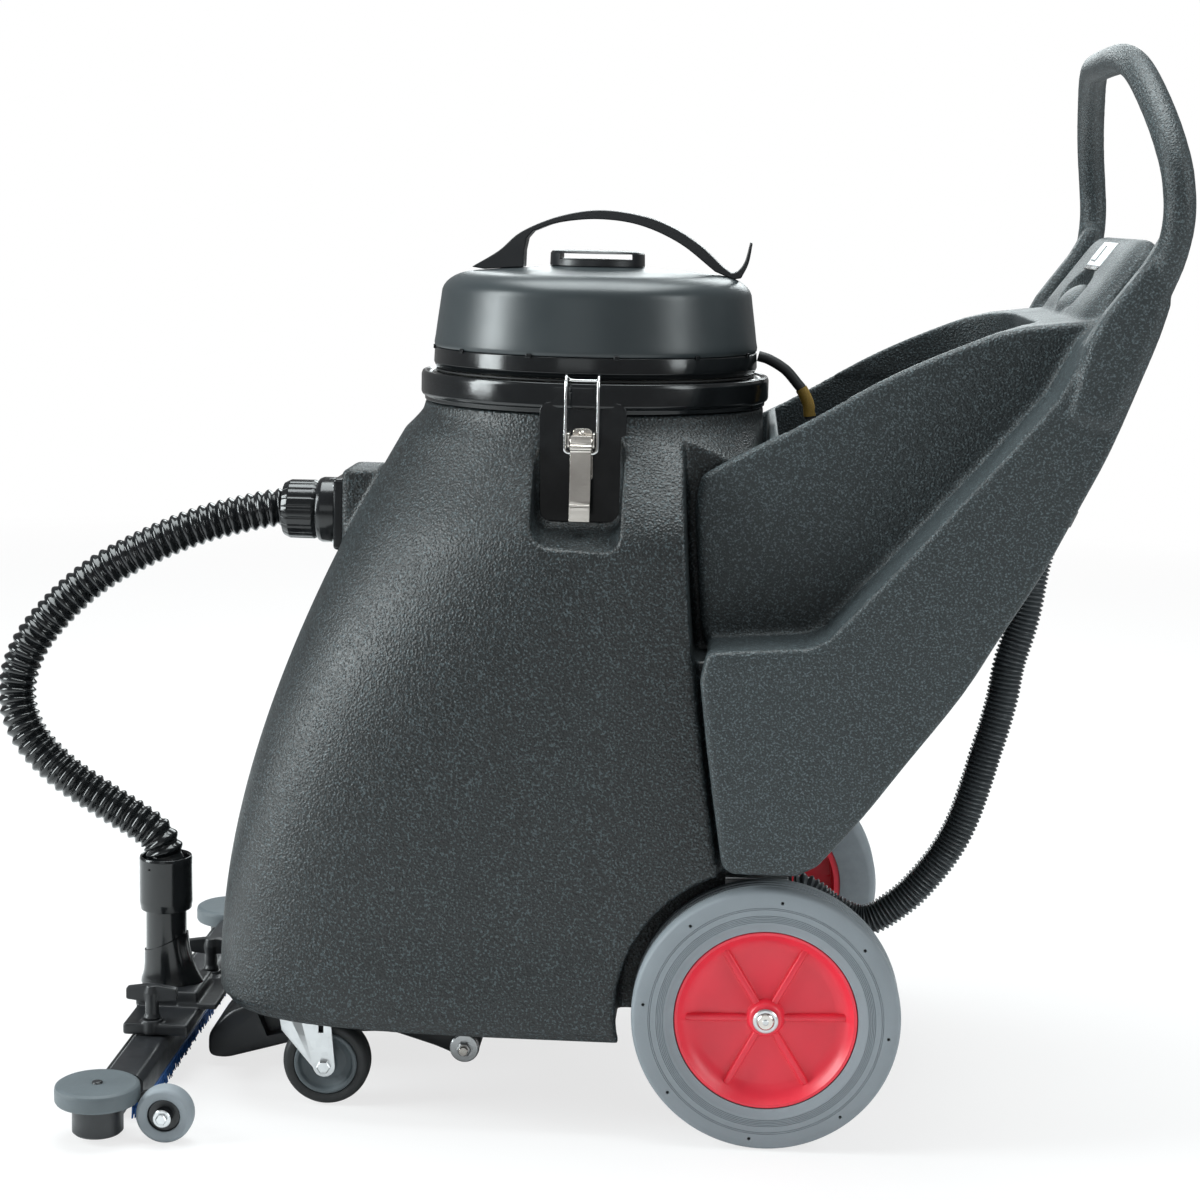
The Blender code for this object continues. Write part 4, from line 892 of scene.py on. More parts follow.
def make_hub(label, side):
    """A dished hub: rolled rim, sloping wall, flat web with six rounded ribs, and a boss."""
    centre = spot(f"rear_hub_{label}")
    turn = (-side * math.pi / 2, 0, 0)
    half = WHEEL_HALF
    bore = 0.0084
    web = half - 0.0145
    front = [(bore, half - 0.0040), (0.0135, half - 0.0040), (0.0160, half - 0.0060), (0.0185, web + 0.0010),
             (0.0210, web), (0.0650, web - 0.0010), (0.0740, web + 0.0010), (0.0800, half - 0.0062),
             (0.0830, half - 0.0030), (0.0855, half - 0.0028), (HUB_R, half - 0.0045)]
    back = [(HUB_R, -half + 0.0060), (0.0800, -half + 0.0060), (0.0775, web - 0.0060), (0.0260, web - 0.0050),
            (0.0200, -half), (bore, -half)]
    hub = turned(f"hub_{label}", front + back, SURFACE["hub_red"], centre, turn, sides=144, angle=40)
    ribs = []
    for i in range(6):
        angle = math.radians(2 + 60 * i)
        reach = 0.047
        section = [(-0.0045, -0.006), (0.0045, -0.006), (0.0030, 0.0040), (-0.0030, 0.0040)]
        rings = []
        for distance, lift in ((-0.031, 0.0), (0.022, 0.0), (0.030, -0.002)):
            rings.append([(distance, across, up + lift) for across, up in filleted(section, 0.0025, 4)])
        direction = Matrix.Rotation(-angle, 4, "Y") @ Matrix.Rotation(-side * math.pi / 2, 4, "X")
        location = (centre.x + reach * math.cos(angle), centre.y + side * (web + 0.0004),
                    centre.z + reach * math.sin(angle))
        ribs.append(loft(f"rib_{i}", rings, None, location, direction.to_euler()))
    joined(hub, *ribs)
    stands_for(creased(hub, 40), f"rear_hub_{label}")


def make_axle():
    axle = rod("axle_rod", 0.0079, 2 * half_size("rear_axle").y - 0.004, SURFACE["nickel_steel"], spot("rear_axle"),
               "Y", 64, edge=0.0012)
    stands_for(axle, "rear_axle")
    end = spot("rear_tyre_left").y - WHEEL_HALF
    for label, side in SIDES:
        turn = (-side * math.pi / 2, 0, 0)
        washer = [(0.0105, 0.0022), (0.0118, 0.0012), (0.0118, 0.0), (0.0084, 0.0), (0.0084, 0.0022)]
        ring = turned(f"axle_washer_{label}", washer, SURFACE["zinc_steel"], (0, side * (abs(end) - 0.0036), WHEEL_R), turn,
                      sides=64)
        goes_with(ring, "rear_axle")
        dimple = turned(f"axle_dimple_{label}", [(0.0, 0.0004), (0.0022, 0.0006), (0.0030, 0.0), (0.0, 0.0)],
                        SURFACE["zinc_steel"], (0, side * (half_size("rear_axle").y - 0.002), WHEEL_R), turn, sides=24)
        goes_with(dimple, "rear_axle")
        make_axle_bracket(label, side)


def make_axle_bracket(label, side):
    thickness = 0.003
    y = side * (ARCH_INNER_Y + 0.0018)
    outline = filleted([(-0.012, 0.108), (0.014, 0.108), (0.018, 0.140), (0.018, 0.250), (-0.042, 0.250),
                        (-0.042, 0.200)], 0.006)
    bracket = plate(f"axle_strap_{label}", outline, thickness, SURFACE["zinc_steel"], (0, y, 0), edge=0.0006)
    flange = box("flange", (0.060, 0.010, thickness), location=(-0.012, side * (ARCH_INNER_Y + 0.007), 0.2485),
                 edge=0.0006)
    joined(bracket, flange)
    stands_for(creased(bracket, 30), f"axle_bracket_{label}")
    for i, x in enumerate((-0.034, -0.006)):
        head = bolt(f"strap_bolt_{label}_{i}", 0.0060, 0.0045, (x, y + side * 0.0015, 0.222),
                    (-side * math.pi / 2, 0, 0), SURFACE["zinc_steel"])
        goes_with(head, f"axle_bracket_{label}")


def make_caster(label, side):
    node = f"caster_wheel_{label}"
    wheel = spot(node)
    swivel_x = spot(f"caster_plate_{label}").x - 0.002
    y = wheel.y
    top = TANK_BOTTOM - 0.001
    plate_z = FLOOR_Z - 0.0018
    mount = box(f"caster_top_{label}", (0.044, 0.038, 0.003), SURFACE["zinc_steel"], (swivel_x + 0.002, y, plate_z),
                edge=0.0008)
    stands_for(mount, f"caster_plate_{label}")
    race = turned(f"caster_yoke_{label}", [(0, plate_z - 0.0018), (0.0195, plate_z - 0.0018), (0.0222, top + 0.001),
                                           (0.0222, top - 0.0025), (0, top - 0.0025)],
                  SURFACE["zinc_steel"], (swivel_x, y, 0), sides=64)
    crown = box("fork_crown", (0.050, 0.0428, 0.003), location=(swivel_x + 0.009, y, top - 0.0015), edge=0.0008)
    trail = wheel.x - swivel_x
    cheeks = []
    for cheek_side in (-1, 1):
        foot = [(trail + 0.011 * math.cos(a), wheel.z + 0.011 * math.sin(a))
                for a in [math.radians(10 - 20 * i) for i in range(10)]]
        outline = [(-0.017, top), (0.034, top), (0.034, top - 0.006)] + foot + [(-0.015, top - 0.012)]
        cheek = plate(f"cheek_{cheek_side}", outline, 0.003, location=(swivel_x, y + cheek_side * 0.0200, 0), edge=0.0006)
        window = box("cheek_slot", (0.005, 0.01, 0.009), location=(swivel_x + 0.024, y + cheek_side * 0.0200, top - 0.009))
        cheeks.append(cut(cheek, window))
    joined(race, crown, *cheeks)
    stands_for(creased(race, 30), f"caster_fork_{label}")
    for cheek_side in (-1, 1):
        head = bolt(f"caster_bolt_{label}_{cheek_side}", 0.0070, 0.0042, (wheel.x, y + cheek_side * 0.0215, wheel.z),
                    (-cheek_side * math.pi / 2, 0, 0), SURFACE["zinc_steel"])
        goes_with(head, f"caster_fork_{label}")
    pin = rod(f"caster_pin_{label}", 0.0038, 0.043, SURFACE["zinc_steel"], (wheel.x, y, wheel.z), "Y", 32)
    goes_with(pin, f"caster_fork_{label}")
    make_caster_wheel(label, wheel)


def make_caster_wheel(label, wheel):
    """Black tread on a pressed grey rim with a rolled lip and a hub."""
    turn = (math.pi / 2, 0, 0)
    radius = half_size(f"caster_wheel_{label}").z
    tread = [(0.0305, 0.0125), (0.0380, 0.0145), (radius - 0.0015, 0.0110), (radius, 0.0060), (radius, -0.0060),
             (radius - 0.0015, -0.0110), (0.0380, -0.0145), (0.0305, -0.0125)]
    tyre = turned(f"caster_tread_{label}", tread, SURFACE["black_rubber"], wheel, turn, sides=96, edge=0.003)
    stands_for(tyre, f"caster_wheel_{label}")
    half_rim = [(0.0046, 0.0170), (0.0085, 0.0170), (0.0100, 0.0150), (0.0110, 0.0090), (0.0190, 0.0060),
                (0.0250, 0.0090), (0.0270, 0.0135), (0.0300, 0.0140), (0.0312, 0.0125)]
    rim = turned(f"caster_rim_{label}", half_rim + [(r, -h) for r, h in reversed(half_rim)],
                 SURFACE["bumper_grey"], wheel, turn, sides=96, edge=0.0012)
    goes_with(rim, f"caster_wheel_{label}")


# Latches

def make_latch(label, side):
    base_node, lever_node, bail_node = (f"latch_{part}_{label}" for part in ("base", "lever", "bail"))
    pivot = Vector((NECK_X, side * 0.192, 0.662))
    plate_y = side * 0.1748
    outline = filleted([(-0.0110, -0.025), (0.0110, -0.025), (0.0095, 0.012), (0.0092, 0.024), (-0.0092, 0.024),
                        (-0.0095, 0.012)], 0.005)
    base = plate(f"latch_plate_{label}", outline, 0.0030, SURFACE["nickel_steel"], (NECK_X, plate_y, 0.648), edge=0.0006)
    ears = []
    for ear_side in (-1, 1):
        ear_outline = filleted([(-0.011, -0.0075), (0.011, -0.0075), (0.011, 0.0075), (-0.011, 0.0075)], 0.004)
        ears.append(plate(f"ear_{ear_side}", ear_outline, 0.0015, location=(NECK_X + ear_side * 0.0118, side * 0.1845, pivot.z),
                          rotation=(math.pi / 2, 0, math.pi / 2)))
    pin = rod("latch_pin", 0.0016, 0.0245, location=pivot, axis="X", sides=24)
    joined(base, pin, *ears)
    stands_for(creased(base, 30), base_node)
    for i, z in enumerate((0.632, 0.6665)):
        rivet = turned(f"latch_rivet_{label}_{i}", [(0, 0.0016), (0.0022, 0.0014), (0.0034, 0.0), (0, 0.0)],
                       SURFACE["nickel_steel"], (NECK_X, side * 0.1763, z), (-side * math.pi / 2, 0, 0), sides=32)
        goes_with(rivet, base_node)
    make_lever(label, side, pivot, lever_node)
    make_bail(label, side, bail_node)


def make_lever(label, side, pivot, node):
    """A pressed steel lever with a turned-out lip and a folded end."""
    centre_line = smooth_path([(0.0015, 0.0045), (0.0035, -0.006), (0.0040, -0.030), (0.0040, -0.058),
                               (0.0056, -0.068), (0.0072, -0.0755)], 0.003)
    half = 0.0011
    outer = [(a + half, b) for a, b in centre_line]
    inner = [(a - half, b) for a, b in reversed(centre_line)]
    outline = [(side * a, b) for a, b in outer + inner]
    lever = plate(f"latch_handle_{label}", outline, 0.0196, SURFACE["nickel_steel"], pivot, (math.pi / 2, 0, math.pi / 2),
                  edge=0.0004)
    fold = rod("lever_fold", 0.0030, 0.0200, location=(NECK_X, pivot.y + side * 0.0036, pivot.z - 0.0065), axis="X", sides=32)
    knuckle = rod("lever_knuckle", 0.0034, 0.0210, location=(NECK_X, pivot.y, pivot.z), axis="X", sides=32)
    ridge = rod("lever_ridge", 0.0016, 0.0190, location=(NECK_X, pivot.y + side * 0.0054, pivot.z - 0.061), axis="X", sides=24)
    joined(lever, fold, knuckle, ridge)
    cheeks = []
    for cheek_side in (-1, 1):
        cheeks.append(box(f"lever_cheek_{cheek_side}", (0.0012, 0.0060, 0.050), location=(NECK_X + cheek_side * 0.0092, pivot.y + side * 0.0015, pivot.z - 0.029),
                          edge=0.0004))
    joined(lever, *cheeks)
    stands_for(creased(lever, 30), node)


def make_bail(label, side, node):
    """The sprung wire that hooks over the head ring."""
    half = 0.0152
    foot = 0.650
    rise = 0.7165 - foot
    arm = [(0.0075, 0, 0), (half - 0.004, 0, 0), (half - 0.001, 0, 0.0015), (half, 0, 0.006), (half, 0, rise * 0.5),
           (half, 0, rise - 0.004), (half, -side * 0.002, rise + 0.002), (half, -side * 0.008, rise + 0.0055),
           (half, -side * 0.015, rise + 0.0045), (half - 0.001, -side * 0.0200, rise + 0.002),
           (half - 0.004, -side * 0.0215, rise)]
    wire = arm + [(-x, a, b) for x, a, b in reversed(arm)]
    bail = tube(f"bail_wire_{label}", wire, 0.0015, SURFACE["chrome_wire"], 0.0015, 14, (NECK_X, side * 0.192, foot))
    stands_for(bail, node)


# Collar and motor head

def make_collar():
    at = (NECK_X, 0, 0)
    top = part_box("tank_collar")[1].z
    profile = [(0.1700, top), (0.1735, top - 0.0006), (0.1748, top - 0.004), (0.1748, top - 0.0215), (0.1735, top - 0.0240),
               (0.1714, top - 0.0248), (0.1710, NECK_Z + 0.0008), (0.1530, NECK_Z + 0.0008), (0.1530, top - 0.0010),
               (0.1630, top - 0.0010), (0.1650, top - 0.0030), (0.1680, top - 0.0030)]
    collar = turned("collar_ring", profile, SURFACE["gloss_black"], at, sides=192, edge=0.0009)
    stands_for(collar, "tank_collar")
    for label, side in SIDES:
        outline = filleted([(-0.0415, 0.696), (-0.0395, 0.583), (0.0395, 0.583), (0.0415, 0.696)], 0.012, 6)
        hanger = plate(f"latch_hanger_{label}", outline, 0.0045, SURFACE["gloss_black"], (NECK_X, side * 0.1700, 0),
                       edge=0.0008)
        goes_with(creased(hanger, 30), "tank_collar")
    gasket = [(0.1600, 0.7158), (0.1600, top + 0.0003), (0.1540, top + 0.0003), (0.1540, 0.7158)]
    stands_for(turned("seal_ring", gasket, SURFACE["black_rubber"], at, edge=0.0004), "collar_gasket")


def make_head_ring():
    at = (NECK_X, 0, 0)
    low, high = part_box("head_base")
    ring = [(0.1605, high.z), (0.1618, high.z - 0.0010), (0.1624, low.z + 0.006), (0.1600, low.z + 0.0005), (0.1500, low.z),
            (0.1500, 0.7250), (0.0460, 0.7250), (0.0460, 0.7300), (0.1480, 0.7300), (0.1500, high.z)]
    body = turned("head_ring", ring, SURFACE["gloss_black"], at, sides=192, edge=0.0006)
    stands_for(body, "head_base")
    tabs = 12
    for i in range(tabs):
        angle = 2 * math.pi * (i + 0.35) / tabs
        radius = 0.1622
        tab = box(f"ring_tab_{i:02d}", (0.0022, 0.0052, 0.0042), SURFACE["gloss_black"],
                  (NECK_X + radius * math.cos(angle), radius * math.sin(angle), high.z - 0.0001), (0, 0, angle), edge=0.0005)
        goes_with(tab, "head_base")


def make_lid():
    at = (NECK_X, 0, 0)
    outer = [(0.0, 0.8195), (0.0480, 0.8195), (0.0520, 0.8186), (0.0700, 0.8170), (0.0950, 0.8155), (0.1180, 0.8133)]
    shoulder = [(0.1180 + 0.0375 * math.sin(a), 0.7905 + 0.0228 * math.cos(a))
                for a in [math.radians(10 * i) for i in range(1, 10)]]
    skirt = [(0.1562, 0.7850), (0.1590, 0.7650), (0.1612, 0.7480), (0.1622, 0.7425), (0.1620, 0.7395), (0.1608, 0.7378)]
    inner = [(0.1590, 0.7378), (0.1575, 0.7440), (0.1530, 0.7800), (0.1450, 0.7930), (0.1200, 0.8010), (0.0, 0.8060)]
    lid = turned("lid_dome", outer + shoulder + skirt + inner, SURFACE["lid_grey"], at, sides=192, angle=50)
    stands_for(lid, "lid_shell")


def make_strap():
    """The carrying bow: solid front foot, thin arch and a turned-up cord hook behind."""
    outer = flat([(-0.125, 0.8165), (-0.098, 0.833), (-0.076, 0.852), (-0.039, 0.868), (0.001, 0.875),
                  (0.041, 0.871), (0.072, 0.861), (0.102, 0.843), (0.126, 0.8215)], 0.006)
    hook_out = flat([(0.134, 0.8160), (0.1405, 0.818), (0.147, 0.827), (0.152, 0.847)], 0.004)
    hook_in = flat([(0.1545, 0.846), (0.151, 0.826), (0.144, 0.811)], 0.004)
    under = [(0.136, 0.8098)] + flat([(0.118, 0.8170), (0.082, 0.844), (0.042, 0.861), (0.001, 0.866),
                                      (-0.039, 0.862), (-0.064, 0.853)], 0.006)
    foot = [(-0.0700, 0.846), (-0.0725, 0.834), (-0.073, 0.8172), (-0.100, 0.8155), (-0.112, 0.8145)]
    strap = plate("carry_bow", outer + hook_out + hook_in + under + foot, 0.034, SURFACE["satin_black"],
                  (NECK_X, 0, 0), edge=0.0014)
    stands_for(strap, "carry_strap")


def make_cap():
    at = (NECK_X, 0, 0)
    low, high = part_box("top_cap")
    profile = [(0, high.z), (0.0430, high.z), (0.0455, high.z - 0.0008), (0.0472, high.z - 0.003), (0.0475, low.z + 0.001),
               (0.0475, low.z), (0, low.z)]
    cap = turned("vent_cap", profile, SURFACE["satin_black"], at, sides=128, edge=0.0006)
    window = box("vent_window", (0.072, 0.12, 0.0060), location=(NECK_X, 0, 0.8293), edge=0.0010)
    stands_for(creased(cut(cap, window), 30), "top_cap")


def make_head_inside():
    at = (NECK_X, 0, 0)
    housing = [(0, 0.7960), (0.080, 0.7960), (0.088, 0.7900), (0.088, 0.7310), (0.078, 0.7310), (0.078, 0.7820),
               (0.006, 0.7820), (0.006, 0.7700), (0, 0.7700)]
    stands_for(turned("motor_bell", housing, SURFACE["satin_black"], at, edge=0.001), "motor_housing")
    cage = [(0.0455, 0.7247), (0.0455, 0.6250), (0.0, 0.6250), (0.0, 0.6290), (0.0410, 0.6290), (0.0410, 0.7247)]
    float_cage = turned("float_basket", cage, SURFACE["satin_black"], at, edge=0.0010)
    windows = []
    for i in range(6):
        for z in (0.648, 0.668, 0.688, 0.708):
            windows.append(box(f"cage_slot_{i}_{z}", (0.12, 0.013, 0.014), location=(NECK_X, 0, z),
                               rotation=(0, 0, math.pi * i / 6)))
    stands_for(creased(cut(float_cage, *windows), 30), "float_cage")
    stands_for(ball("float_sphere", (0.030, 0.030, 0.030), SURFACE["pale_plastic"], spot("float_ball"), sides=64), "float_ball")
    pleat = [(0.1490, 0.7160), (0.1490, 0.7120), (0.1478, 0.7110), (0.1250, 0.5655), (0.0, 0.5650), (0.0, 0.5680),
             (0.1225, 0.5680), (0.1445, 0.7160)]
    basket = turned("filter_bag", pleat, SURFACE["filter_cloth"], at, sides=192,
                    flute=lambda turn: 1 - 0.012 * (0.5 + 0.5 * math.cos(32 * turn)))
    stands_for(basket, "filter_basket")
    hub = [(0.0, 0.7680), (0.060, 0.7680), (0.060, 0.7640), (0.020, 0.7620), (0.016, 0.7480), (0.0, 0.7480)]
    fan = turned("fan_disc", hub, SURFACE["cast_aluminium"], at, sides=96, edge=0.0008)
    blades = [box(f"blade_{i}", (0.090, 0.0016, 0.0140), location=(NECK_X, 0, 0.7570), rotation=(0, 0, math.pi * i / 4))
              for i in range(4)]
    stands_for(creased(joined(fan, *blades), 30), "motor_fan")


def make_cable():
    cable = [(-0.0255, 0, 0.7340), (-0.014, 0, 0.7305), (0.002, 0, 0.721), (0.014, 0, 0.708), (0.021, 0, 0.699),
             (0.028, 0, 0.683), (0.028, 0, 0.672)]
    stands_for(tube("motor_cable", cable, 0.0053, SURFACE["black_rubber"], 0.002, 24), "pigtail_cable")
    sleeve = [(0.0185, 0, 0.7025), (0.022, 0, 0.6965), (0.0265, 0, 0.686), (0.028, 0, 0.675)]
    braid = tube("cable_braid", sleeve, 0.0061, YELLOW_BRAID, 0.0015, 32)
    goes_with(braid, "pigtail_cable")


# Inlet, hoses and drain

def make_inlet():
    low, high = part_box("inlet_flange")
    flange = box("inlet_plate", tuple(high - low), SURFACE["gloss_black"], spot("inlet_flange"), edge=0.0035)
    stands_for(flange, "inlet_flange")
    step = (high.z - low.z) / 2 - 0.008
    for i, (across, up) in enumerate(((-1, -1), (-1, 1), (1, -1), (1, 1))):
        screw = turned(f"inlet_screw_{i}", [(0, 0.0016), (0.0020, 0.0014), (0.0034, 0), (0, 0)], SURFACE["zinc_steel"],
                       (low.x - AXLE.x, across * (step + 0.0015), INLET_Z + up * step), (0, -math.pi / 2, 0), sides=24)
        goes_with(screw, "inlet_flange")
    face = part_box("inlet_cuff")[1].x - AXLE.x
    at = (face, 0, INLET_Z)
    turn = (0, -math.pi / 2, 0)
    collar = [(0.0205, 0.0), (0.0335, 0.0), (0.0335, 0.0150), (0.0322, 0.0185), (0.0300, 0.0205), (0.0205, 0.0205)]
    neck = turned("cuff_collar", collar, SURFACE["gloss_black"], at, turn, sides=96, edge=0.0010)
    stands_for(neck, "inlet_cuff")
    grip = [(0.0205, 0.0203), (0.0285, 0.0203), (0.0302, 0.0240), (0.0300, 0.0490), (0.0268, 0.0556), (0.0215, 0.0560)]
    knurl = turned("cuff_grip", grip, SURFACE["gloss_black"], at, turn, sides=216, edge=0.0008,
                   flute=lambda angle: 1 - 0.022 * max(math.cos(18 * angle), 0.0) ** 4)
    goes_with(knurl, "inlet_cuff")


def corrugated(radius, pitch, depth, crest):
    """radius_at for a ribbed hose: crests of the full radius, a pitch apart."""
    def radius_at(distance):
        wave = 0.5 + 0.5 * math.cos(2 * math.pi * distance / pitch)
        return radius - depth * (1 - wave**crest)
    return radius_at


def make_vacuum_hose():
    keys = [(-0.508, 0.000, 0.567), (-0.537, -0.005, 0.562), (-0.588, -0.010, 0.548), (-0.640, -0.015, 0.526),
            (-0.693, -0.020, 0.496), (-0.734, -0.025, 0.460), (-0.766, -0.030, 0.417), (-0.7770, -0.036, 0.371),
            (-0.763, -0.042, 0.329), (-0.729, -0.047, 0.294), (-0.685, -0.051, 0.266), (-0.648, -0.054, 0.2450),
            (-0.6275, HEAD_Y, 0.2300), (-0.6190, HEAD_Y, 0.2135)]
    ends = [(-0.490, 0.000, 0.567)] + keys + [(-0.6180, HEAD_Y, 0.2000)]
    hose = swept("suction_hose", smooth_path(ends, 0.0011), corrugated(0.0197, 0.0098, 0.0036, 0.75), SURFACE["gloss_black"], 40)
    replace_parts(hose, "vacuum_hose")
    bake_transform(hose, "base", "squeegee", (AXLE.x - 0.70, 0, INLET_Z - 0.03), (AXLE.x - 0.70, 0, 0.232))


def make_drain():
    profile = [(0.0155, 0.030), (0.0155, -0.004), (0.0240, -0.004), (0.0240, -0.012), (0.0105, -0.012),
               (0.0105, 0.030)]
    port = turned("drain_spout", profile, SURFACE["satin_black"], (TANK_REAR_X + 0.0125, 0, DRAIN_Z), (0, math.pi / 2, 0), edge=0.0008)
    stands_for(port, "drain_port")
    keys = [(0.0285, 0, DRAIN_Z), (0.043, 0, DRAIN_Z - 0.001), (0.072, 0, 0.162), (0.105, 0, 0.153),
            (0.141, 0, 0.176), (0.166, 0, 0.204), (0.186, 0, 0.234), (0.200, 0, 0.265), (0.211, 0, 0.301),
            (0.220, 0, 0.336), (0.227, 0, 0.362), (0.234, 0, 0.394), (0.239, 0, 0.428), (0.248, 0, 0.462),
            (0.2535, 0, 0.488), (0.2605, 0, 0.535), (DRAIN_FOOT[0], 0, DRAIN_FOOT[1]),
            (DRAIN_END[0], 0, DRAIN_END[1])]
    hose = swept("drain_tube", smooth_path(keys, 0.0006), corrugated(0.0167, 0.0046, 0.0030, 0.8),
                 HOSE_GREY, 40)
    stands_for(hose, "drain_hose")
    tilt = math.atan2(DRAIN_END[0] - DRAIN_FOOT[0], DRAIN_END[1] - DRAIN_FOOT[1])
    end = Vector((DRAIN_END[0], 0, DRAIN_END[1]))
    cap = turned("drain_plug", [(0.0, 0.016), (0.0175, 0.016), (0.0195, 0.013), (0.0195, 0.001), (0.0, 0.001)],
                 SURFACE["satin_black"], end, (0, tilt, 0), sides=120, edge=0.0008,
                 flute=lambda angle: 1 - 0.02 * max(math.cos(20 * angle), 0.0) ** 4)
    stands_for(cap, "drain_cap")
    along = Vector((math.sin(tilt), 0, math.cos(tilt)))
    inwards = Vector((-math.cos(tilt), 0, math.sin(tilt)))
    middle_of_clip = end - along * 0.028
    clip = turned("hose_ring", [(0.0205, 0.009), (0.0205, -0.009), (0.0178, -0.009), (0.0178, 0.009)],
                  SURFACE["satin_black"], middle_of_clip, (0, tilt, 0), edge=0.0010)
    tongue_length = 0.0052
    tongue = box("clip_tongue", (tongue_length, 0.018, 0.014),
                 location=middle_of_clip + inwards * (0.0190 + tongue_length / 2), rotation=(0, tilt, 0), edge=0.001)
    stands_for(creased(joined(clip, tongue), 30), "hose_clip")


# Squeegee assembly

def make_lift_arm():
    top = [(-0.2850, 0.046), (-0.330, 0.056), (-0.400, 0.066), (-0.480, 0.072), (-0.522, 0.068), (-0.545, 0.058),
           (-0.566, 0.034)]
    bottom = [(-0.566, 0.010), (-0.548, 0.008), (-0.500, 0.022), (-0.440, 0.040), (-0.377, 0.044), (-0.330, 0.030),
              (-0.301, 0.018), (-0.2880, 0.022)]
    y = HEAD_Y + 0.005
    arm = plate("lift_beam", filleted(top + bottom, 0.008), 0.090, SURFACE["satin_black"], (0, y, 0), edge=0.004)
    web = 0.0300
    pockets = []
    for side in (-1, 1):
        pocket = plate(f"arm_pocket_{side}", [(-0.335, 0.047), (-0.398, 0.057), (-0.478, 0.063), (-0.515, 0.058), (-0.505, 0.034), (-0.440, 0.048), (-0.377, 0.051)],
                       0.020, location=(0, y + side * (0.045 - 0.004), 0))
        pockets.append(pocket)
    cut(arm, *pockets)
    stands_for(creased(arm, 30), "lift_arm")
    pivot = spot("lift_pivot_pin")
    pin = rod("pivot_rod", 0.0049, 0.130, SURFACE["nickel_steel"], pivot, "Y", 48, edge=0.0008)
    stands_for(pin, "lift_pivot_pin")
    for label, side in SIDES:
        make_lift_bracket(label, side, pivot, y)


def make_lift_bracket(label, side, pivot, y):
    centre_y = y + side * 0.050
    outline = filleted([(-0.020, 0.0477), (0.020, 0.0477), (0.030, 0.1102), (-0.030, 0.1102)], 0.003)
    ear = plate(f"lift_cheek_{label}", outline, 0.004, SURFACE["satin_black"], (pivot.x, centre_y, 0), edge=0.0006)
    eye = rod("eye", 0.0150, 0.004, location=(pivot.x, centre_y, pivot.z), axis="Y", sides=64, edge=0.0006)
    web = box("web", (0.022, 0.004, 0.026), location=(pivot.x, centre_y, pivot.z + 0.014))
    joined(ear, eye, web)
    stands_for(creased(ear, 30), f"lift_bracket_{label}")
    turn = (-side * math.pi / 2, 0, 0)
    face = centre_y + side * 0.0021
    washer = [(0.0052, 0.0024), (0.0135, 0.0024), (0.0148, 0.0012), (0.0148, 0.0), (0.0052, 0.0)]
    ring = turned(f"pivot_washer_{label}", washer, SURFACE["zinc_steel"], (pivot.x, face, pivot.z), turn, sides=64)
    goes_with(ring, "lift_pivot_pin")
    nut = bolt(f"pivot_nut_{label}", 0.0078, 0.0050, (pivot.x, face + side * 0.0024, pivot.z), turn, SURFACE["zinc_steel"])
    goes_with(nut, "lift_pivot_pin")


def make_squeegee_bar():
    low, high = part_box("squeegee_bar")
    half_length = 0.2555
    profile = [(-0.021, 0.0200), (-0.021, 0.0390), (-0.015, 0.0470), (0.015, 0.0470), (0.021, 0.0410), (0.021, 0.0198),
               (-0.010, 0.0198)]
    body = plate("squeegee_beam", filleted(profile, 0.002, 2), 2 * half_length, SURFACE["satin_black"], (BAR_X, 0, 0))
    parts = []
    for label, side in SIDES:
        bumper = spot(f"bumper_{label}")
        wheel = spot(f"squeegee_wheel_{label}")
        parts.append(rod(f"end_housing_{side}", 0.024, 0.029, location=(bumper.x, bumper.y, 0.0205), sides=64, edge=0.002))
        parts.append(box(f"end_neck_{side}", (0.030, 0.050, 0.0144), location=(BAR_X - 0.004, side * 0.268, 0.027), edge=0.002))
        arm = filleted([(-0.030, -0.006), (-0.030, 0.012), (-0.004, 0.013), (0.011, 0.007), (0.011, -0.008), (-0.002, -0.010)],
                       0.006, 6)
        parts.append(plate(f"wheel_arm_{side}", arm, 0.008, location=(wheel.x, side * 0.2745, wheel.z), edge=0.001))
        parts.append(rod(f"wheel_stub_{side}", 0.0034, 0.044, location=(wheel.x, side * 0.293, wheel.z), axis="Y", sides=32))
        parts.append(rod(f"bumper_post_{side}", 0.0049, 0.030, location=(bumper.x, bumper.y, 0.040), sides=32))
    joined(body, *parts)
    stands_for(creased(body, 30), "squeegee_bar")


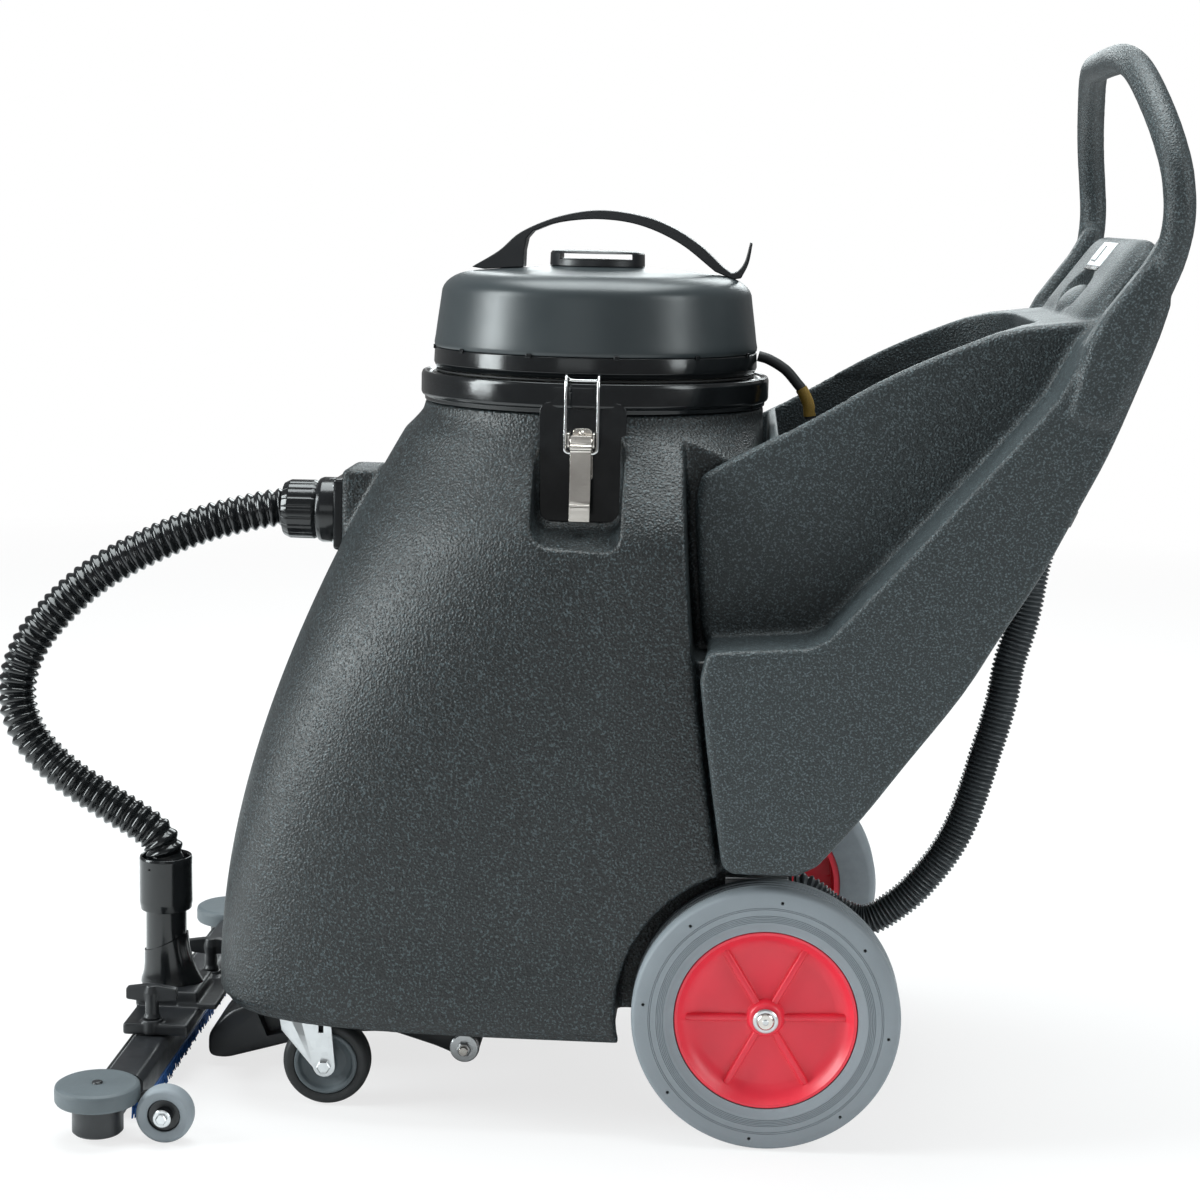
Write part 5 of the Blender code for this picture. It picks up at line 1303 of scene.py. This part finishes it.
def make_brush():
    """A back strip with rows of splayed bristles."""
    low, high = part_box("brush_strip")
    low, high = low - AXLE, high - AXLE
    rng = random.Random(11)
    shape = bmesh.new()
    rows, count, sides = 5, 190, 5
    for row in range(rows):
        x = mix(low.x + 0.004, high.x - 0.004, row / (rows - 1))
        for i in range(count):
            y = mix(low.y + 0.003, high.y - 0.003, (i + 0.5 * (row % 2)) / count)
            tip = Vector((x + rng.uniform(-0.002, 0.002) + (row - 2) * 0.0006, y + rng.uniform(-0.0015, 0.0015),
                          low.z + rng.uniform(0.0, 0.0015)))
            foot = [shape.verts.new((x + 0.0012 * math.cos(a), y + 0.0012 * math.sin(a), high.z - 0.001))
                    for a in [2 * math.pi * k / sides for k in range(sides)]]
            end = [shape.verts.new((tip.x + 0.0006 * math.cos(a), tip.y + 0.0006 * math.sin(a), tip.z))
                   for a in [2 * math.pi * k / sides for k in range(sides)]]
            for k in range(sides):
                shape.faces.new((foot[k], foot[(k + 1) % sides], end[(k + 1) % sides], end[k]))
            shape.faces.new(end)
            shape.faces.new(list(reversed(foot)))
    bmesh.ops.recalc_face_normals(shape, faces=shape.faces)
    brush = place("brush_bristles", shape, SURFACE["blue_bristle"])
    stands_for(brush, "brush_strip")
    strip = box("brush_back", (high.x - low.x, high.y - low.y, 0.003), SURFACE["blue_bristle"],
                ((low.x + high.x) / 2, 0, high.z - 0.0012), edge=0.0006)
    goes_with(strip, "brush_strip")


def make_blade():
    low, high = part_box("rubber_blade")
    size = high - low
    blade = box("wiper_blade", tuple(size), SURFACE["black_rubber"], spot("rubber_blade"), edge=0.0007)
    stands_for(blade, "rubber_blade")


def make_bumper(label, side):
    at = spot(f"bumper_{label}")
    top = 0.0090
    disc = [(0.0, top - 0.0006), (0.0080, top - 0.0004), (0.0360, top), (0.0392, top - 0.0018), (0.0400, top - 0.0050),
            (0.0400, -top + 0.0030), (0.0385, -top + 0.0006), (0.0340, -top), (0.0310, -top + 0.0020),
            (0.0056, -top + 0.0020), (0.0056, 0.0060), (0.0, 0.0060)]
    body = turned(f"bumper_disc_{label}", disc, SURFACE["bumper_grey"], at, sides=128, edge=0.0006, angle=50)
    stands_for(body, f"bumper_{label}")


def make_small_wheel(label, side):
    node = f"squeegee_wheel_{label}"
    at = spot(node)
    radius = half_size(node).z
    turn = (math.pi / 2, 0, 0)
    tread = [(0.0155, 0.0085), (0.0235, 0.0108), (0.0262, 0.0085), (radius, 0.0050), (radius, -0.0050), (0.0262, -0.0085),
             (0.0235, -0.0108), (0.0155, -0.0085)]
    stands_for(turned(f"roller_tread_{label}", tread, SURFACE["tyre_grey"], at, turn, sides=96, edge=0.0014), node)
    core = [(0.0039, 0.0100), (0.0075, 0.0100), (0.0085, 0.0060), (0.0145, 0.0060), (0.0154, 0.0080), (0.0154, -0.0080),
            (0.0145, -0.0060), (0.0085, -0.0060), (0.0075, -0.0100), (0.0039, -0.0100)]
    goes_with(turned(f"roller_core_{label}", core, SURFACE["satin_black"], at, turn, sides=64), node)
    outward = (-side * math.pi / 2, 0, 0)
    face = side * 0.3128
    ring = turned(f"roller_washer_{label}", [(0.0, 0.0012), (0.0078, 0.0012), (0.0086, 0.0004), (0.0086, 0.0), (0.0, 0.0)],
                  SURFACE["zinc_steel"], (at.x, face, at.z), outward, sides=48)
    goes_with(ring, "squeegee_bar")
    goes_with(bolt(f"roller_bolt_{label}", 0.0055, 0.0035, (at.x, face + side * 0.0012, at.z), outward,
                   SURFACE["zinc_steel"]), "squeegee_bar")


def make_head_bracket():
    deck_z = 0.0540
    base = box("bracket_deck", (0.066, 0.185, 0.012), SURFACE["satin_black"], (BAR_X + 0.006, HEAD_Y, deck_z), edge=0.0025)
    block = box("elbow_block", (0.064, 0.074, 0.018), location=(BAR_X + 0.004, HEAD_Y, deck_z + 0.013), edge=0.003)
    tie = box("arm_tie", (0.040, 0.086, 0.006), location=(BAR_X + 0.036, HEAD_Y + 0.005, deck_z + 0.0075), edge=0.001)
    bosses = []
    for label, side in SIDES:
        knob = spot(f"clamp_knob_{label}")
        bosses.append(rod(f"boss_{label}", 0.011, 0.0150, location=(knob.x, knob.y, deck_z + 0.0018), sides=48, edge=0.001))
    joined(base, block, tie, *bosses)
    stands_for(creased(softened(base, 0.0011, 3), 60), "base_bracket")
    for label, side in SIDES:
        make_knob(label)


def make_knob(label):
    """A T-bar knob: tapered wings that flow into a round stem with a foot washer."""
    node = f"clamp_knob_{label}"
    low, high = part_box(node)
    at = spot(node)
    foot = low.z + 0.0003
    stem = turned(f"knob_{label}", [(0, 0.0980), (0.0060, 0.0980), (0.0080, 0.0900), (0.0068, 0.0800), (0.0068, 0.0690),
                                    (0.0085, 0.0655), (0.0085, foot), (0, foot)], SURFACE["satin_black"], (at.x, at.y, 0), sides=64,
                  edge=0.0008)
    wing = [(-0.0255, 0.0835), (-0.0060, 0.0815), (0.0060, 0.0815), (0.0255, 0.0835), (0.0255, 0.0955), (0.0060, 0.0985),
            (-0.0060, 0.0985), (-0.0255, 0.0955)]
    joined(stem, plate("wings", filleted(wing, 0.002, 3), 0.0085, location=(at.x, at.y, 0), edge=0.0012))
    stands_for(creased(softened(stem, 0.0006, 3), 60), node)


def make_suction_pipe():
    x = BAR_X - 0.004
    rings = []
    sides = 96
    for height, radius, flare, slant in ((0.0763, 0.0262, 0.012, 0.0), (0.0800, 0.0258, 0.010, 0.0), (0.0860, 0.0245, 0.007, 0.10),
                                         (0.0950, 0.0232, 0.004, 0.25), (0.1050, 0.0226, 0.0015, 0.40), (0.1190, 0.0224, 0.0, 0.42)):
        ring = []
        for i in range(sides):
            a = 2 * math.pi * i / sides
            across = math.cos(a)
            stretched = radius + flare * max(across, 0.0)
            ring.append((x + stretched * across, HEAD_Y + radius * math.sin(a), height + slant * radius * across))
        rings.append(ring)
    elbow = loft("pipe_elbow", rings, SURFACE["gloss_black"])
    stands_for(creased(elbow, 40), "elbow_pipe")
    pipe = [(0.0170, 0.1535), (0.0205, 0.1535), (0.0208, 0.1000), (0.0170, 0.1000)]
    goes_with(turned("pipe_riser", pipe, SURFACE["gloss_black"], (x, HEAD_Y, 0), sides=96), "elbow_pipe")
    cuff = [(0.0248, 0.2100), (0.0262, 0.2100), (0.0270, 0.2075), (0.0268, 0.1980), (0.0270, 0.1620), (0.0258, 0.1540),
            (0.0205, 0.1540), (0.0205, 0.1960), (0.0215, 0.1960), (0.0238, 0.2085)]
    sleeve = turned("pipe_sleeve", cuff, SURFACE["gloss_black"], (x, HEAD_Y, 0), sides=96, edge=0.0008)
    mark = box("sleeve_mark", (0.0080, 0.004, 0.0022), location=(x - 0.014, HEAD_Y - 0.0262, 0.2000), rotation=(0, 0, 0.5))
    stands_for(creased(cut(sleeve, mark), 40), "pipe_cuff")


# Stage

def make_camera():
    """The photograph's viewing angle: from the left side, a little above the lid, nearly level."""
    place_at = AXLE + Vector((-0.038, -2.432, 0.874))
    pitch, yaw, roll = 0.160, 0.058, 0.022
    ahead = Vector((-math.sin(yaw) * math.cos(pitch), math.cos(yaw) * math.cos(pitch), -math.sin(pitch)))
    level = Vector((math.cos(yaw), math.sin(yaw), 0))
    up = level.cross(ahead)
    right = math.cos(roll) * level + math.sin(roll) * up
    up = math.cos(roll) * up - math.sin(roll) * level
    data = bpy.data.cameras.new("photo_camera")
    data.sensor_width = 36.0
    data.lens = 72.27
    camera = bpy.data.objects.new("photo_camera", data)
    bpy.context.scene.collection.objects.link(camera)
    turn = Matrix((right, up, -ahead)).transposed().to_4x4()
    camera.matrix_world = Matrix.Translation(place_at) @ turn
    bpy.context.scene.camera = camera


def make_light(name, location, target, size, watts):
    data = bpy.data.lights.new(name, "AREA")
    data.shape = "RECTANGLE"
    data.size, data.size_y = size
    data.energy = watts
    data.color = (0.92, 0.99, 1.0)
    light = bpy.data.objects.new(name, data)
    bpy.context.scene.collection.objects.link(light)
    light.location = location
    light.rotation_euler = (Vector(target) - Vector(location)).to_track_quat("-Z", "Y").to_euler()


def make_world():
    """White to the camera, softer to everything else."""
    world = bpy.data.worlds.new("studio")
    bpy.context.scene.world = world
    world.use_nodes = True
    tree = world.node_tree
    background = tree.nodes["Background"]
    rays = tree.nodes.new("ShaderNodeLightPath")
    strength = tree.nodes.new("ShaderNodeMapRange")
    strength.inputs["To Min"].default_value = 0.22
    strength.inputs["To Max"].default_value = 1.0
    tree.links.new(rays.outputs["Is Camera Ray"], strength.inputs["Value"])
    tree.links.new(strength.outputs["Result"], background.inputs["Strength"])
    background.inputs["Color"].default_value = (1.0, 1.0, 1.0, 1.0)


def make_floor():
    """A pale disc with a light shadow, which fades into the white background."""
    shape = bmesh.new()
    bmesh.ops.create_circle(shape, cap_ends=True, segments=96, radius=9.0)
    floor = place("studio_floor", shape)
    floor.location = (0, 0, -0.0004)
    made = Nodes("studio_floor")
    made.shader.inputs["Roughness"].default_value = 0.75
    tone = made.blend(made.spread(made.noise(3.0), 0.3, 0.7), (0.86, 0.865, 0.87, 1), (0.89, 0.89, 0.89, 1))
    made.feed(made.shader.inputs["Base Color"], tone)
    distance = made.add("ShaderNodeVectorMath", {"operation": "LENGTH"})
    made.feed(distance.inputs[0], made.place)
    fade = made.spread(distance.outputs["Value"], 1.0, 4.5)
    clear = made.add("ShaderNodeBsdfTransparent")
    blend = made.add("ShaderNodeMixShader")
    glow = made.add("ShaderNodeEmission")
    rays = made.add("ShaderNodeLightPath")
    seen = made.add("ShaderNodeMath", {"operation": "MULTIPLY"})
    made.feed(seen.inputs[0], rays.outputs["Is Camera Ray"])
    seen.inputs[1].default_value = 0.75
    lifted = made.add("ShaderNodeMixShader")
    made.feed(lifted.inputs[0], seen.outputs[0])
    made.feed(lifted.inputs[1], made.shader.outputs[0])
    made.feed(lifted.inputs[2], glow.outputs[0])
    made.feed(blend.inputs[0], fade)
    made.feed(blend.inputs[1], lifted.outputs[0])
    made.feed(blend.inputs[2], clear.outputs[0])
    output = made.tree.nodes["Material Output"]
    made.feed(output.inputs["Surface"], blend.outputs[0])
    floor.data.materials.append(made.material)


def make_stage():
    make_floor()
    make_world()
    centre = (0.0, 0.0, 0.45)
    make_light("left_bank", (-2.8, -0.8, 1.4), centre, (1.0, 2.0), 100.0)
    make_light("right_bank", (2.6, -1.2, 1.6), centre, (0.9, 1.8), 32.0)
    make_light("overhead", (0.0, 0.3, 3.2), centre, (2.4, 2.0), 120.0)
    make_light("front_fill", (-0.6, -3.6, 1.3), centre, (1.6, 1.2), 5.5)
    make_light("back_bank", (0.3, 3.0, 1.9), centre, (2.0, 1.2), 40.0)
    make_camera()
    bpy.context.scene.view_settings.view_transform = "Standard"


SURFACE = make_materials()
YELLOW_BRAID = woven("cable_sleeve", (0.620, 0.400, 0.030), (0.200, 0.110, 0.010), 0.6, 420.0).material
HOSE_GREY = finish("hose_grey", (0.042, 0.048, 0.052), 0.34, spread=0.08, grain=900.0, wear_and_sheen=0.25).material

make_tank()
make_underside()
make_collar()
make_caddy()
make_switch()
make_axle()
for LABEL, SIDE in SIDES:
    make_tyre(LABEL, SIDE)
    make_hub(LABEL, SIDE)
    make_caster(LABEL, SIDE)
    make_latch(LABEL, SIDE)
    make_bumper(LABEL, SIDE)
    make_small_wheel(LABEL, SIDE)
make_head_ring()
make_lid()
make_strap()
make_cap()
make_head_inside()
make_cable()
make_inlet()
make_vacuum_hose()
make_drain()
make_lift_arm()
make_squeegee_bar()
make_brush()
make_blade()
make_head_bracket()
make_suction_pipe()
make_stage()
